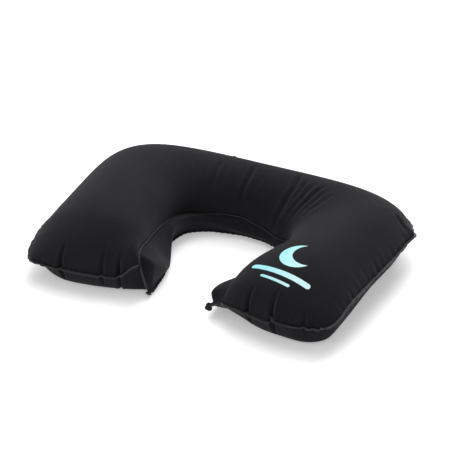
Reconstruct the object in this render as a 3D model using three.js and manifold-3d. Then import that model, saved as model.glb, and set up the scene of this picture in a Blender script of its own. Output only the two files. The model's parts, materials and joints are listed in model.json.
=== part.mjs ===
// Inflatable horseshoe neck pillow with an oral valve on its back.
// Millimetres, +Z up. The pillow lies flat, its arms open towards -Y, and +X is its wearer's right arm.
import * as THREE from "three";
import { mergeVertices } from "three/addons/utils/BufferGeometryUtils.js";
import Module from "manifold-3d";

const wasm = await Module();
wasm.setup();

const { clamp, lerp } = THREE.MathUtils;
const smooth = (t) => THREE.MathUtils.smoothstep(t, 0, 1);

// ---- Driving dimensions -------------------------------------------------------------------------
// Plan. Y is measured from the line through the two ears, where the neck opening begins.
const neckCentreY = 117; // centre of the round part of the neck opening
const halfWidth = 204; // centre line to the outer weld beside the neck's centre
const tipHalfWidth = 207; // centre line to the outer weld at the arm tips
const backReach = 151; // neck's centre to the back weld
const backSquareness = 4.5; // exponent of the back's rounded-square outline
const sideFlare = 0.06; // spread of the sides over one flareLength towards the back
const flareLength = 142;
const mouthHalfWidth = 42; // between the ears, from the centre line
const neckHalfWidth = 67.5; // lower neck seam beside the neck's centre
const neckBackReach = 60; // neck's centre to the lower seam at the nape
const neckSquareness = 2.8;
const neckCornerSpread = 0.18; // widens the two back corners of the neck opening
const mouthStraightShare = 0.35; // share of the arm over which the mouth keeps its width
const tipCornerRadius = 43; // outer corner of each arm tip, in plan
const tipBow = 11; // how far the end weld bows forward
const tipBowSharpness = 0.7;

// Heights above the ground.
const archHeight = 74; // crown over the arms, above the weld plane's floor
const backArchHeight = 73;
const leftArmLift = 2; // the left arm is a little fuller than the right
const sideWeldHeight = 37.5;
const backWeldHeight = 35;
const tipWeldHeight = 25;
const upperSeamHeights = [32, 16.5, 26.5, 24, 32]; // right side, corner, nape, corner, left side
const upperSeamSetback = [22, -3, 1, -1, 22]; // behind the lower seam, at the same five places

// Each arm's own end: the junction is where the end weld, the upper seam and the gusset's end meet.
const rightArm = { side: 1, tipY: -26.5, junctionHeight: 33, earHeight: 12 };
const leftArm = { side: -1, tipY: -29, junctionHeight: 41, earHeight: 1.8 };
const junctionSetback = 8.5; // outward from the ear
const junctionY = 1;

// Fullness of the inflated sections.
const outerFullness = 1.3; // rise from the outer weld: lower is fuller
const innerFullness = 0.78; // fall to the upper seam
const tipClosing = 77; // length over which an arm's tip closes
const underCurl = 27; // width over which the underside lifts off the ground
const tipUnderCurl = 19;
const gussetBulge = 8;

// Film and welds.
const film = 0.7; // flocked PVC film
const seamGap = 0.8; // each film stops this far above or below its seam
const gussetRaise = 0.3; // extra gap under the gusset, where the lower seam climbs to the ears
const weldInset = 0.75; // seam line to the flange's inner edge
const weldThickness = 1.2;
const outerWeldWidth = 4;
const neckWeldWidth = 3;
const weldEndGap = 2.5; // flanges stop short of the junctions and ears
const earTabGap = 1.3; // gusset's end weld to the ear, above the tab
const earTabTurn = 35; // degrees, towards the neck from straight ahead
const earTabLength = 11;
const earTabWidth = 9;

// Oral valve, on its own axis: z = 0 is the welded flange's outer face, +z points out of the pillow.
const valveAngle = 108; // degrees round the neck's centre from +X
const valveRise = 0.042; // place on the top sheet: 0 at the outer weld, 1 at the upper seam
const valveFlangeRadius = 11.5;
const valveFlangeThickness = 0.9;
const valveHoleGap = 0.4; // film to flange, all round
const stemRadius = 4.6;
const stemBore = 3.2;
const stemTravel = 9; // pulled out by this much to blow
const stemHold = 3; // still inside the flange when pulled out
const stemClearance = 0.3;
const collarWall = 1.4;
const collarHeight = 1.6;
const rimOverhang = 1.6; // rim beyond the stem
const rimThickness = 1.2;
const boreFlare = 0.5; // widening of the bore's mouth
const plugClearance = 0.3; // stopper under its head to the bore
const plugTaper = 1; // radius lost from head to tip
const plugLength = 4.2;
const plugHeadInset = 0.6; // rim's edge to the head's edge
const plugHeadThickness = 1.3;
const gripOverhang = 3.9; // grip tab beyond the head
const gripWidth = 6;
const tetherLength = 3.9; // head's edge to the living hinge
const tetherWidth = 4;
const tetherThickness = 0.9;
const flapInset = 0.4; // stem's wall to the flap's edge
const flapThickness = 0.6;
const flapHingeOverhang = 1; // flap's hinge beyond the stem
const touchGap = 0.3; // between touching pieces

// Grid of the films.
const armRows = 12;
const backRows = 28;
const topColumns = 14;
const bottomColumns = 9;
const gussetColumns = 5;

// ---- Plan curves ---------------------------------------------------------------------------------
const tips = [rightArm, leftArm];
const armOn = (side) => tips.find((arm) => arm.side === side);

// A station is one cross-section of the horseshoe: along an arm by share q (0 at its tip), round the
// back by angle (0 at +X, pi at -X).
const armStation = (arm, q) => ({ arm, side: arm.side, q, angle: arm.side > 0 ? 0 : Math.PI });
const backStation = (angle) => ({ arm: null, side: 0, q: 1, angle });

// Distance from the centre to a rounded square of half sizes a and b.
function roundedSquare(angle, a, b, power) {
  const across = Math.abs(Math.cos(angle)) / a;
  const along = Math.abs(Math.sin(angle)) / b;
  return (across ** power + along ** power) ** (-1 / power);
}

// Five values spread evenly round the back, joined smoothly.
function roundTheBack(values, angle) {
  const place = (angle / Math.PI) * (values.length - 1);
  const from = Math.min(Math.floor(place), values.length - 2);
  return lerp(values[from], values[from + 1], smooth(place - from));
}

const flared = (x, y) => x * (1 + (sideFlare * (y - neckCentreY)) / flareLength);

// The arm's side weld, before its tip is rounded.
function armSideX(arm, y) {
  const share = clamp((y - arm.tipY) / (neckCentreY - arm.tipY), 0, 1);
  return flared(lerp(tipHalfWidth, halfWidth, 1 - (1 - share) ** 2), y);
}

function outerWeldPlan({ arm, side, q, angle }) {
  if (!arm) {
    const r = roundedSquare(angle, halfWidth, backReach, backSquareness);
    const y = neckCentreY + r * Math.sin(angle);
    return new THREE.Vector2(flared(r * Math.cos(angle), y), y);
  }
  // From the middle of the rounded corner to the neck's centre, by length.
  const cornerLength = (tipCornerRadius * Math.PI) / 4;
  const cornerEndY = arm.tipY + tipCornerRadius;
  const along = q * (cornerLength + neckCentreY - cornerEndY);
  if (along >= cornerLength) {
    const y = cornerEndY + along - cornerLength;
    return new THREE.Vector2(side * armSideX(arm, y), y);
  }
  const turn = (Math.PI / 4) * (1 - along / cornerLength);
  const x = armSideX(arm, cornerEndY) - tipCornerRadius * (1 - Math.cos(turn));
  return new THREE.Vector2(side * x, cornerEndY - tipCornerRadius * Math.sin(turn));
}

function lowerSeamPlan({ arm, side, q, angle }) {
  if (!arm) {
    const r = roundedSquare(angle, neckHalfWidth, neckBackReach, neckSquareness);
    const spread = 1 + neckCornerSpread * smooth(Math.sin(angle)) * Math.abs(Math.cos(angle));
    return new THREE.Vector2(r * Math.cos(angle) * spread, neckCentreY + r * Math.sin(angle));
  }
  const opening = Math.max(0, (q - mouthStraightShare) / (1 - mouthStraightShare)) ** 1.5;
  return new THREE.Vector2(side * lerp(mouthHalfWidth, neckHalfWidth, opening), neckCentreY * q);
}

// Unit vector in plan, from the neck opening outwards.
const awayFromNeck = ({ side, angle }) =>
  side ? new THREE.Vector2(side, 0) : new THREE.Vector2(Math.cos(angle), Math.sin(angle));

// 1 at the tip, falling to 0 at the given share of the arm.
const nearTip = ({ side, q }, share) => (side ? 1 - smooth(q / share) : 0);
const atBack = ({ side, angle }) => (side ? 0 : smooth(Math.sin(angle)));

// ---- Seams ---------------------------------------------------------------------------------------
function outerWeld(station) {
  const plan = outerWeldPlan(station);
  const side = lerp(sideWeldHeight, tipWeldHeight, nearTip(station, 0.45));
  return new THREE.Vector3(plan.x, plan.y, lerp(side, backWeldHeight, atBack(station)));
}

const junction = (arm) =>
  new THREE.Vector3(arm.side * (mouthHalfWidth + junctionSetback), junctionY, arm.junctionHeight);

const ear = (arm) => new THREE.Vector3(arm.side * mouthHalfWidth, 0, arm.earHeight);

function upperSeam(station) {
  const setback = roundTheBack(upperSeamSetback, station.angle);
  const plan = lowerSeamPlan(station).addScaledVector(awayFromNeck(station), setback);
  const height = roundTheBack(upperSeamHeights, station.angle);
  const seam = new THREE.Vector3(plan.x, plan.y, height);
  if (!station.side) return seam;
  const end = junction(station.arm);
  const tipSeamX = station.side * (mouthHalfWidth + setback);
  seam.x += (end.x - tipSeamX) * nearTip(station, 0.5);
  seam.y += end.y * nearTip(station, 0.5);
  seam.z = lerp(seam.z, end.z, nearTip(station, 0.45));
  return seam;
}

function lowerSeam(station) {
  const plan = lowerSeamPlan(station);
  const rise = station.side ? (station.arm.earHeight - film) * nearTip(station, 0.3) : 0;
  return new THREE.Vector3(plan.x, plan.y, film + rise);
}

// The end weld of an arm, h from 0 at the outer corner to 1 at the junction.
const endBow = (h) => tipBow * Math.sin(Math.PI * clamp(h, 0, 1)) ** tipBowSharpness;
const endWeldHeight = (arm, h) => lerp(tipWeldHeight, arm.junctionHeight, smooth((h - 0.8) / 0.2));

function endWeld(arm, h) {
  const corner = outerWeld(armStation(arm, 0));
  const point = corner.lerp(junction(arm), h);
  return point.set(point.x, point.y - endBow(h), endWeldHeight(arm, h));
}

// ---- Films ---------------------------------------------------------------------------------------
// Top sheet: phi from 0 at the outer weld to pi at the upper seam.
function topPoint(station, phi) {
  const across = (1 - Math.cos(phi)) / 2;
  const weld = outerWeld(station);
  const seam = upperSeam(station);
  const point = weld.clone().lerp(seam, across);
  const tipShare = nearTip(station, 0.4);
  point.y -= endBow(across) * tipShare;
  if (station.side) {
    const { arm } = station;
    const straight = lerp(tipWeldHeight, arm.junctionHeight, across);
    point.z += (endWeldHeight(arm, across) - straight) * tipShare;
  }
  const lift = leftArmLift * 2 * (smooth(station.angle / Math.PI) - 0.5);
  const crown = lerp(archHeight, backArchHeight, atBack(station)) + lift;
  const fullness = phi < Math.PI / 2 ? outerFullness : innerFullness;
  const fromTip = station.side ? Math.min(1, (station.q * neckCentreY) / tipClosing) : 1;
  const closing = Math.sqrt(1 - (1 - fromTip) ** 2);
  const rise = (crown - (weld.z + seam.z) / 2) * closing * Math.max(0, Math.sin(phi)) ** fullness;
  point.z += rise + seamGap;
  return point;
}

// Bottom sheet: s from 0 at the outer weld to 1 at the lower seam. At an arm's tip its edge follows
// the end weld to the junction and then the gusset's end down to the ear.
const gussetEndShare = 0.15;

function bottomTipEdge(arm, s) {
  const weldShare = 1 - gussetEndShare;
  if (s <= weldShare) return endWeld(arm, s / weldShare);
  return junction(arm).lerp(ear(arm), (s - weldShare) / gussetEndShare);
}

function bottomPoint(station, s) {
  const weld = outerWeld(station);
  const seam = lowerSeam(station);
  const width = Math.hypot(weld.x - seam.x, weld.y - seam.y);
  const lifted = Math.max(0, 1 - (s * width) / underCurl) ** 2;
  const point = weld.clone().lerp(seam, s);
  point.z = film / 2 + (weld.z - seamGap - film / 2) * lifted;
  if (station.side) {
    const edge = bottomTipEdge(station.arm, s);
    const straight = outerWeld(armStation(station.arm, 0)).lerp(ear(station.arm), s);
    const share = nearTip(station, 0.4);
    point.x += (edge.x - straight.x) * share;
    point.y += (edge.y - straight.y) * share;
    const tipLift = Math.max(0, 1 - (station.q * neckCentreY) / tipUnderCurl) ** 2;
    point.z = Math.max(point.z, film / 2 + (edge.z - seamGap - film / 2) * tipLift);
  }
  const hem = seam.z - film / 2;
  const nearHem = smooth((s - 0.8) / 0.2);
  point.z = Math.max(point.z, lerp(film / 2, hem, nearHem));
  return point;
}

// Neck gusset: g from 0 at the upper seam to 1 at the lower seam, bulging into the neck opening.
function gussetPoint(station, g) {
  const upper = upperSeam(station);
  const lower = lowerSeam(station);
  upper.z -= seamGap;
  lower.z += film / 2 + seamGap + gussetRaise;
  const point = upper.lerp(lower, g);
  const bulge = gussetBulge * (1 - nearTip(station, 0.4)) * Math.sin(Math.PI * g);
  const away = awayFromNeck(station);
  point.x -= away.x * bulge;
  point.y -= away.y * bulge;
  return point;
}

// Stations from the right arm's tip to the left arm's, closer together near the tips.
function stationsFrom(firstShare) {
  const armShare = (i) => firstShare + (1 - firstShare) * (i / armRows) ** 1.7;
  const stations = [];
  for (let i = 0; i < armRows; i++) stations.push(armStation(rightArm, armShare(i)));
  for (let i = 0; i <= backRows; i++) stations.push(backStation((Math.PI * i) / backRows));
  for (let i = armRows - 1; i >= 0; i--) stations.push(armStation(leftArm, armShare(i)));
  return stations;
}

const grid = (stations, columns, pointAt) =>
  stations.map((station) =>
    Array.from({ length: columns + 1 }, (_, j) => pointAt(station, j / columns)),
  );

// ---- Solids --------------------------------------------------------------------------------------
// A closed sheet of the film's thickness about a grid of points.
function sheetGeometry(points, thickness) {
  const rows = points.length;
  const columns = points[0].length;
  const positions = [];
  for (const half of [thickness / 2, -thickness / 2])
    for (let i = 0; i < rows; i++)
      for (let j = 0; j < columns; j++) {
        const alongRow = points[i][Math.min(j + 1, columns - 1)]
          .clone()
          .sub(points[i][Math.max(j - 1, 0)]);
        const acrossRows = points[Math.min(i + 1, rows - 1)][j]
          .clone()
          .sub(points[Math.max(i - 1, 0)][j]);
        const normal = acrossRows.cross(alongRow).normalize();
        positions.push(...points[i][j].clone().addScaledVector(normal, half));
      }
  const front = (i, j) => i * columns + j;
  const back = (i, j) => rows * columns + i * columns + j;
  const indices = [];
  const quad = (a, b, c, d) => indices.push(a, b, c, a, c, d);
  for (let i = 0; i < rows - 1; i++)
    for (let j = 0; j < columns - 1; j++) {
      quad(front(i, j), front(i + 1, j), front(i + 1, j + 1), front(i, j + 1));
      quad(back(i, j), back(i, j + 1), back(i + 1, j + 1), back(i + 1, j));
    }
  for (let i = 0; i < rows - 1; i++) {
    quad(front(i, 0), back(i, 0), back(i + 1, 0), front(i + 1, 0));
    const last = columns - 1;
    quad(front(i, last), front(i + 1, last), back(i + 1, last), back(i, last));
  }
  for (let j = 0; j < columns - 1; j++) {
    quad(front(0, j), front(0, j + 1), back(0, j + 1), back(0, j));
    const last = rows - 1;
    quad(front(last, j), back(last, j), back(last, j + 1), front(last, j + 1));
  }
  const geometry = new THREE.BufferGeometry();
  geometry.setAttribute("position", new THREE.Float32BufferAttribute(positions, 3));
  geometry.setIndex(indices);
  geometry.computeVertexNormals();
  return geometry;
}

// A flat flange along a seam line, standing out to the left of the path.
function flangeGeometry(path, width) {
  const edges = path.map((point, i) => {
    const ahead = path[Math.min(i + 1, path.length - 1)];
    const behind = path[Math.max(i - 1, 0)];
    const out = new THREE.Vector3(behind.y - ahead.y, ahead.x - behind.x, 0).normalize();
    const inner = point.clone().addScaledVector(out, weldInset);
    const outer = point.clone().addScaledVector(out, weldInset + width);
    return [inner, outer];
  });
  return sheetGeometry(edges, weldThickness);
}

function solidOf(geometry) {
  const bare = geometry.clone();
  bare.deleteAttribute("normal");
  bare.deleteAttribute("uv");
  const merged = mergeVertices(bare, 1e-4);
  const triVerts = new Uint32Array(merged.index.array);
  const vertProperties = merged.attributes.position.array;
  return new wasm.Manifold(new wasm.Mesh({ numProp: 3, vertProperties, triVerts }));
}

function geometryOf(solid) {
  const mesh = solid.getMesh();
  const geometry = new THREE.BufferGeometry();
  geometry.setAttribute("position", new THREE.BufferAttribute(mesh.vertProperties, 3));
  geometry.setIndex(new THREE.BufferAttribute(mesh.triVerts, 1));
  return geometry.toNonIndexed();
}

function named(name, geometry, color, roughness) {
  const material = new THREE.MeshStandardMaterial({ color, roughness, metalness: 0 });
  const mesh = new THREE.Mesh(geometry, material);
  mesh.name = name;
  return mesh;
}

// A ring or rod turned about +Z from (radius, height) pairs.
function turned(profile, segments) {
  const points = profile.map(([r, z]) => new THREE.Vector2(r, z));
  return new THREE.LatheGeometry(points, segments).rotateX(Math.PI / 2);
}

// A plate cut from an outline in the XY plane, between two heights.
function plate(outline, bottom, top) {
  const geometry = new THREE.ExtrudeGeometry(outline, {
    depth: top - bottom,
    bevelEnabled: false,
    curveSegments: 8,
  });
  return geometry.translate(0, 0, bottom);
}

const boxOutline = (x0, y0, x1, y1) =>
  new THREE.Shape([
    new THREE.Vector2(x0, y0),
    new THREE.Vector2(x1, y0),
    new THREE.Vector2(x1, y1),
    new THREE.Vector2(x0, y1),
  ]);

// ---- Valve ---------------------------------------------------------------------------------------
// The valve's frame on the top sheet: origin on the film, z along the film's outward normal.
function valveFrame() {
  const angle = THREE.MathUtils.degToRad(valveAngle);
  const phi = Math.acos(1 - 2 * valveRise);
  const step = 0.01;
  const origin = topPoint(backStation(angle), phi);
  const along = topPoint(backStation(angle + step), phi).sub(topPoint(backStation(angle - step), phi));
  const up = topPoint(backStation(angle), phi + step).sub(topPoint(backStation(angle), phi - step));
  const out = along.clone().cross(up).normalize();
  const sideways = new THREE.Vector3(0, 0, 1).cross(out).normalize();
  const upward = out.clone().cross(sideways);
  return new THREE.Matrix4().makeBasis(sideways, upward, out).setPosition(origin);
}

const holeRadius = stemRadius + stemClearance;
const rimRadius = stemRadius + rimOverhang;
const plugHeadRadius = rimRadius - plugHeadInset;
const plugTop = stemBore - plugClearance;
const plugTip = plugTop - plugTaper;
const gripReach = plugHeadRadius + gripOverhang;
const hingeReach = plugHeadRadius + tetherLength; // valve's axis to the tether's living hinge
const flapRadius = stemRadius - flapInset;
const flapHingeReach = stemRadius + flapHingeOverhang;
const rimBottom = collarHeight + touchGap;
const stemTop = rimBottom + rimThickness;
const headBottom = stemTop + touchGap;
const headTop = headBottom + plugHeadThickness;
const hingeHeight = (headBottom + headTop) / 2;
const stemBottom = -(stemTravel + stemHold); // below the flange when pushed in

const valveBaseGeometry = () =>
  turned(
    [
      [holeRadius, -valveFlangeThickness],
      [valveFlangeRadius, -valveFlangeThickness],
      [valveFlangeRadius, 0],
      [holeRadius + collarWall, 0],
      [holeRadius + collarWall, collarHeight],
      [holeRadius, collarHeight],
      [holeRadius, -valveFlangeThickness],
    ],
    40,
  );

// The stem's tube, with a lug under the tether's hinge and one beside the flap's hinge.
function stemGeometry() {
  const tube = turned(
    [
      [stemBore, stemBottom],
      [stemRadius, stemBottom],
      [stemRadius, rimBottom],
      [rimRadius, rimBottom],
      [rimRadius, stemTop],
      [stemBore + boreFlare, stemTop],
      [stemBore, stemTop - 2 * boreFlare],
      [stemBore, stemBottom],
    ],
    32,
  );
  const lugHalf = tetherWidth / 2;
  const bite = 0.8; // how far each lug runs into the tube's wall
  const tetherLug = boxOutline(-lugHalf, rimRadius - bite, lugHalf, hingeReach + tetherThickness);
  const flapLug = boxOutline(-lugHalf, stemRadius - bite, lugHalf, flapHingeReach + flapThickness);
  const flapLugHeight = 1.5;
  return geometryOf(
    solidOf(tube)
      .add(solidOf(plate(tetherLug, rimBottom, stemTop)))
      .add(solidOf(plate(flapLug, stemBottom, stemBottom + flapLugHeight))),
  );
}

// Stopper: a tapered plug under a round head with a grip tab opposite the tether.
function plugGeometry() {
  const stopper = turned(
    [
      [0, headBottom - plugLength],
      [plugTip, headBottom - plugLength],
      [plugTop, headBottom],
      [plugHeadRadius, headBottom],
      [plugHeadRadius, headTop],
      [0, headTop],
    ],
    32,
  );
  const grip = boxOutline(-gripWidth / 2, -gripReach, gripWidth / 2, 0);
  return geometryOf(solidOf(stopper).add(solidOf(plate(grip, headBottom + touchGap, headTop))));
}

function tetherGeometry() {
  const strap = boxOutline(
    -tetherWidth / 2,
    plugHeadRadius + touchGap,
    tetherWidth / 2,
    hingeReach + tetherThickness / 2,
  );
  return plate(strap, hingeHeight - tetherThickness / 2, hingeHeight + tetherThickness / 2);
}

// The non-return flap lies across the stem's inner end, on a tab that reaches its hinge.
function flapGeometry() {
  const outline = new THREE.Shape();
  const tabHalf = tetherWidth / 2;
  const tabAngle = Math.acos(tabHalf / flapRadius);
  outline.absarc(0, 0, flapRadius, Math.PI - tabAngle, tabAngle, false);
  outline.lineTo(tabHalf, flapHingeReach);
  outline.lineTo(-tabHalf, flapHingeReach);
  outline.closePath();
  const top = stemBottom - touchGap;
  return plate(outline, top - flapThickness, top);
}

// ---- The pillow ----------------------------------------------------------------------------------
const pillow = new THREE.Group();
const frame = valveFrame();
const filmBlack = 0x232325;
const weldBlack = 0x2c2c2f;
const valveGrey = 0x3a3b3e;

const topGrid = grid(stationsFrom(0.0004), topColumns, (at, share) => topPoint(at, share * Math.PI));
const valveCutter = turned(
  [
    [0, -20],
    [valveFlangeRadius + valveHoleGap, -20],
    [valveFlangeRadius + valveHoleGap, 20],
    [0, 20],
  ],
  40,
).applyMatrix4(frame);
const topSolid = solidOf(sheetGeometry(topGrid, film)).subtract(solidOf(valveCutter));
pillow.add(named("top_sheet", geometryOf(topSolid), filmBlack, 0.95));

const bottomGrid = grid(stationsFrom(0.0004), bottomColumns, bottomPoint);
pillow.add(named("bottom_sheet", sheetGeometry(bottomGrid, film), filmBlack, 0.95));

const gussetGrid = grid(stationsFrom(0.03), gussetColumns, gussetPoint);
pillow.add(named("neck_gusset", sheetGeometry(gussetGrid, film), filmBlack, 0.95));

// The perimeter weld runs round the outside and across both arm tips to the junctions.
function perimeterPath() {
  const tipSteps = 14;
  const path = [];
  for (let i = 1; i <= tipSteps; i++) path.push(endWeld(leftArm, 1 - i / tipSteps));
  const sides = stationsFrom(0).reverse().map(outerWeld);
  path.push(...sides.slice(1));
  for (let i = 1; i < tipSteps; i++) path.push(endWeld(rightArm, i / tipSteps));
  return path;
}
pillow.add(named("outer_weld", flangeGeometry(perimeterPath(), outerWeldWidth), weldBlack, 0.6));

const seamStart = weldEndGap / neckCentreY;
const raised = (seamPoint) => seamPoint.setZ(seamPoint.z + weldThickness / 2);
const upperPath = stationsFrom(seamStart).map((at) => raised(upperSeam(at)));
pillow.add(named("upper_neck_weld", flangeGeometry(upperPath, neckWeldWidth), weldBlack, 0.6));
const lowerPath = stationsFrom(seamStart).map(lowerSeam);
pillow.add(named("lower_neck_weld", flangeGeometry(lowerPath, neckWeldWidth), weldBlack, 0.6));

// The gusset's two ends are welded down to the ears, where the trimmed welds leave a small tab.
for (const [arm, label] of [[rightArm, "right"], [leftArm, "left"]]) {
  const top = junction(arm);
  const low = ear(arm);
  const forward = new THREE.Vector3(0, -1, 0);
  const span = top.distanceTo(low);
  const ends = [weldEndGap / span, 1 - earTabGap / span];
  const strip = ends.map((share) => {
    const point = top.clone().lerp(low, share);
    const inner = point.clone().addScaledVector(forward, weldInset);
    return [inner, point.clone().addScaledVector(forward, weldInset + neckWeldWidth)];
  });
  pillow.add(named(`gusset_end_weld_${label}`, sheetGeometry(strip, weldThickness), weldBlack, 0.6));

  const kite = new THREE.Shape([
    new THREE.Vector2(0, 0),
    new THREE.Vector2(earTabWidth / 2, -earTabLength * 0.45),
    new THREE.Vector2(0, -earTabLength),
    new THREE.Vector2(-earTabWidth / 2, -earTabLength * 0.45),
  ]);
  const tab = plate(kite, -weldThickness / 2, weldThickness / 2);
  tab.rotateZ(-arm.side * THREE.MathUtils.degToRad(earTabTurn));
  const lift = Math.max(0, weldThickness - low.z);
  tab.translate(low.x - arm.side * 1.2, low.y - 1.2, low.z + lift);
  pillow.add(named(`ear_tab_${label}`, tab, weldBlack, 0.6));
}

const valvePieces = [
  named("valve_base", valveBaseGeometry(), valveGrey, 0.45),
  named("valve_stem", stemGeometry(), valveGrey, 0.45),
  named("valve_plug", plugGeometry(), valveGrey, 0.45),
  named("plug_tether", tetherGeometry(), valveGrey, 0.45),
  named("check_flap", flapGeometry(), valveGrey, 0.5),
];
const valve = new THREE.Group();
valve.applyMatrix4(frame);
valve.add(...valvePieces);
pillow.add(valve);

// The origin is the centre of the bounding box's underside.
pillow.updateMatrixWorld(true);
const bounds = new THREE.Box3().setFromObject(pillow, true);
const centre = bounds.getCenter(new THREE.Vector3());
pillow.position.set(-centre.x, -centre.y, -bounds.min.z);

export default pillow;
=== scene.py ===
# %% [markdown]
# # An inflatable horseshoe neck pillow
# The pillow is three pieces of flocked film, welded edge to edge and blown up through a small
# valve. Each film is made here as a grid of points that follows the inflated shape, and the puckers
# and creases that film makes beside a weld are pressed into the grid afterwards. Everything sits on
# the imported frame, so no piece needs fitting at the end.

# %% Load the frame
import json
import math

import bmesh
import bpy
import numpy as np
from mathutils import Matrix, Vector


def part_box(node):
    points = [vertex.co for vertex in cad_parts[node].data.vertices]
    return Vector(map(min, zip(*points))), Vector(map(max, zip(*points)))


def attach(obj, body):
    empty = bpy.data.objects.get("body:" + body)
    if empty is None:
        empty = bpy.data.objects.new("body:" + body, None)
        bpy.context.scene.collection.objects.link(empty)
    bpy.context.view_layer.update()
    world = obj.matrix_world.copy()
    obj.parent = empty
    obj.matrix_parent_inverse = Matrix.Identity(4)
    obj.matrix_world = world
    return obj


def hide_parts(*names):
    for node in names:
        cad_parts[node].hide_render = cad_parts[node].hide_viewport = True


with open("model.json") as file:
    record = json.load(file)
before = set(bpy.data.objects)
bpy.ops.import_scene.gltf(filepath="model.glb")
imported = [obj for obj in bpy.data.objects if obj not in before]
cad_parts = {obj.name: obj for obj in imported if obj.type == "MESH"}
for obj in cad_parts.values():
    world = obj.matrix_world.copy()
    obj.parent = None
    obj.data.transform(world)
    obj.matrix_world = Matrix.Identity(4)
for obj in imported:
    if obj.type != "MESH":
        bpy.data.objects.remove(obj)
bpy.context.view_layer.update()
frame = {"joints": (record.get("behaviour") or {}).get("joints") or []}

MM = 0.001

# %% [markdown]
# ## Camera, light and floor
# The camera comes first, because every later choice is judged through it. A long lens from two
# metres away keeps the horseshoe's proportions calm. Black flock shows its form only by sheen, so
# the main light is a big soft panel behind the pillow, with weaker ones above and in front to open
# the shadows.

# %% Camera
TURN, TILT, DISTANCE = 25.6, 30.2, 2.056
LENS = 136.4
LOOK_AT = Vector((0.0018, 0.0041, 0.0412))


def direction(turn, tilt):
    a, e = math.radians(turn), math.radians(tilt)
    return Vector((math.sin(a) * math.cos(e), -math.cos(a) * math.cos(e), math.sin(e)))


def aimed(data, name, place, target):
    """A camera or light at a place, looking at a target."""
    thing = bpy.data.objects.new(name, data)
    bpy.context.scene.collection.objects.link(thing)
    thing.location = place
    thing.rotation_euler = (Vector(target) - Vector(place)).to_track_quat("-Z", "Y").to_euler()
    return thing


camera_data = bpy.data.cameras.new("camera")
camera_data.lens = LENS
camera = aimed(camera_data, "camera", LOOK_AT + direction(TURN, TILT) * DISTANCE, LOOK_AT)
bpy.context.scene.camera = camera
print("camera at", [round(v, 3) for v in camera.location])

# %% Lights, world and floor
def soft_panel(name, place, target, size, watts):
    light = bpy.data.lights.new(name, "AREA")
    light.shape = "DISK"
    light.size = size
    light.energy = watts
    return aimed(light, name, place, target)


soft_panel("back_panel", (-0.25, 1.6, 1.55), (0, 0, 0), 2.0, 46)
soft_panel("overhead_panel", (-0.3, 0.4, 2.3), (0, 0, 0), 1.6, 12)
soft_panel("front_left_fill", (-1.4, -1.6, 1.0), (0, 0, 0), 1.6, 8)

world = bpy.data.worlds.new("pale_room")
bpy.context.scene.world = world
world.use_nodes = True
room = world.node_tree.nodes["Background"]
room.inputs["Color"].default_value = (1.0, 1.0, 1.0, 1.0)
room.inputs["Strength"].default_value = 0.58
bpy.context.scene.view_settings.view_transform = "Standard"

FLOOR_HALF, FLOOR_DROP = 6.0, 0.0004
FLOOR_WHITE, FLOOR_GLOW = (0.86, 0.86, 0.865, 1), 0.30


def floor():
    """A wide pale floor that glows a little, so that the shadow on it stays faint."""
    mesh = bpy.data.meshes.new("floor")
    half = FLOOR_HALF
    corners = [(-half, -half), (half, -half), (half, half), (-half, half)]
    mesh.from_pydata([(x, y, -FLOOR_DROP) for x, y in corners], [], [(0, 1, 2, 3)])
    plane = bpy.data.objects.new("floor", mesh)
    bpy.context.scene.collection.objects.link(plane)
    paint = bpy.data.materials.new("floor_paint")
    paint.use_nodes = True
    shader = paint.node_tree.nodes["Principled BSDF"]
    shader.inputs["Base Color"].default_value = FLOOR_WHITE
    shader.inputs["Roughness"].default_value = 0.9
    shader.inputs["Emission Color"].default_value = (1, 1, 1, 1)
    shader.inputs["Emission Strength"].default_value = FLOOR_GLOW
    mesh.materials.append(paint)


floor()
print("three soft panels, a pale room and a floor")

# %% [markdown]
# ## The pillow's plan
# Seen from above, three lines decide the whole shape: the outer weld, the upper neck seam and the
# lower neck seam. Each is a formula of where we are along the horseshoe, which I call a station: a
# share of an arm, or an angle round the back. Formulas were chosen over traced outlines because any
# number of stations can be asked for.

# %% Plan dimensions, in millimetres
NECK_CENTRE_Y = 117.0
HALF_WIDTH, TIP_HALF_WIDTH, BACK_REACH, BACK_SQUARENESS = 204.0, 207.0, 151.0, 4.5
SIDE_FLARE, FLARE_LENGTH = 0.06, 142.0
MOUTH_HALF_WIDTH, NECK_HALF_WIDTH, NECK_BACK_REACH = 42.0, 67.5, 60.0
NECK_SQUARENESS, NECK_CORNER_SPREAD, MOUTH_STRAIGHT_SHARE = 2.8, 0.18, 0.35
NECK_SMOOTHING = 30
TIP_CORNER_RADIUS, TIP_BOW, TIP_BOW_SHARPNESS = 43.0, 11.0, 0.7
TIP_Y = {1: -26.5, -1: -29.0}
WELD_REACH = 4.75
# The frame's origin is the middle of the box; the plan above counts Y from the line between the ears.
EARS_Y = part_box("outer_weld")[1].y / MM - (NECK_CENTRE_Y + BACK_REACH + WELD_REACH)
print("the ears' line is at y =", round(EARS_Y, 2), "mm")


# %% Stations along the horseshoe
def smooth(t):
    t = np.clip(t, 0, 1)
    return t * t * (3 - 2 * t)


def smoothed(values, passes):
    """Averages neighbours along a row a few times; the ends stay."""
    values = values.copy()
    for _ in range(passes):
        values[1:-1] = (values[:-2] + 2 * values[1:-1] + values[2:]) / 4
    return values


def unit(v):
    return v / np.maximum(np.linalg.norm(v, axis=-1, keepdims=True), 1e-9)


ARM_PLACES = (0, 0.1, 0.3, 0.6, 0.8, 1)  # shares of an arm, from its tip


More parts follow.
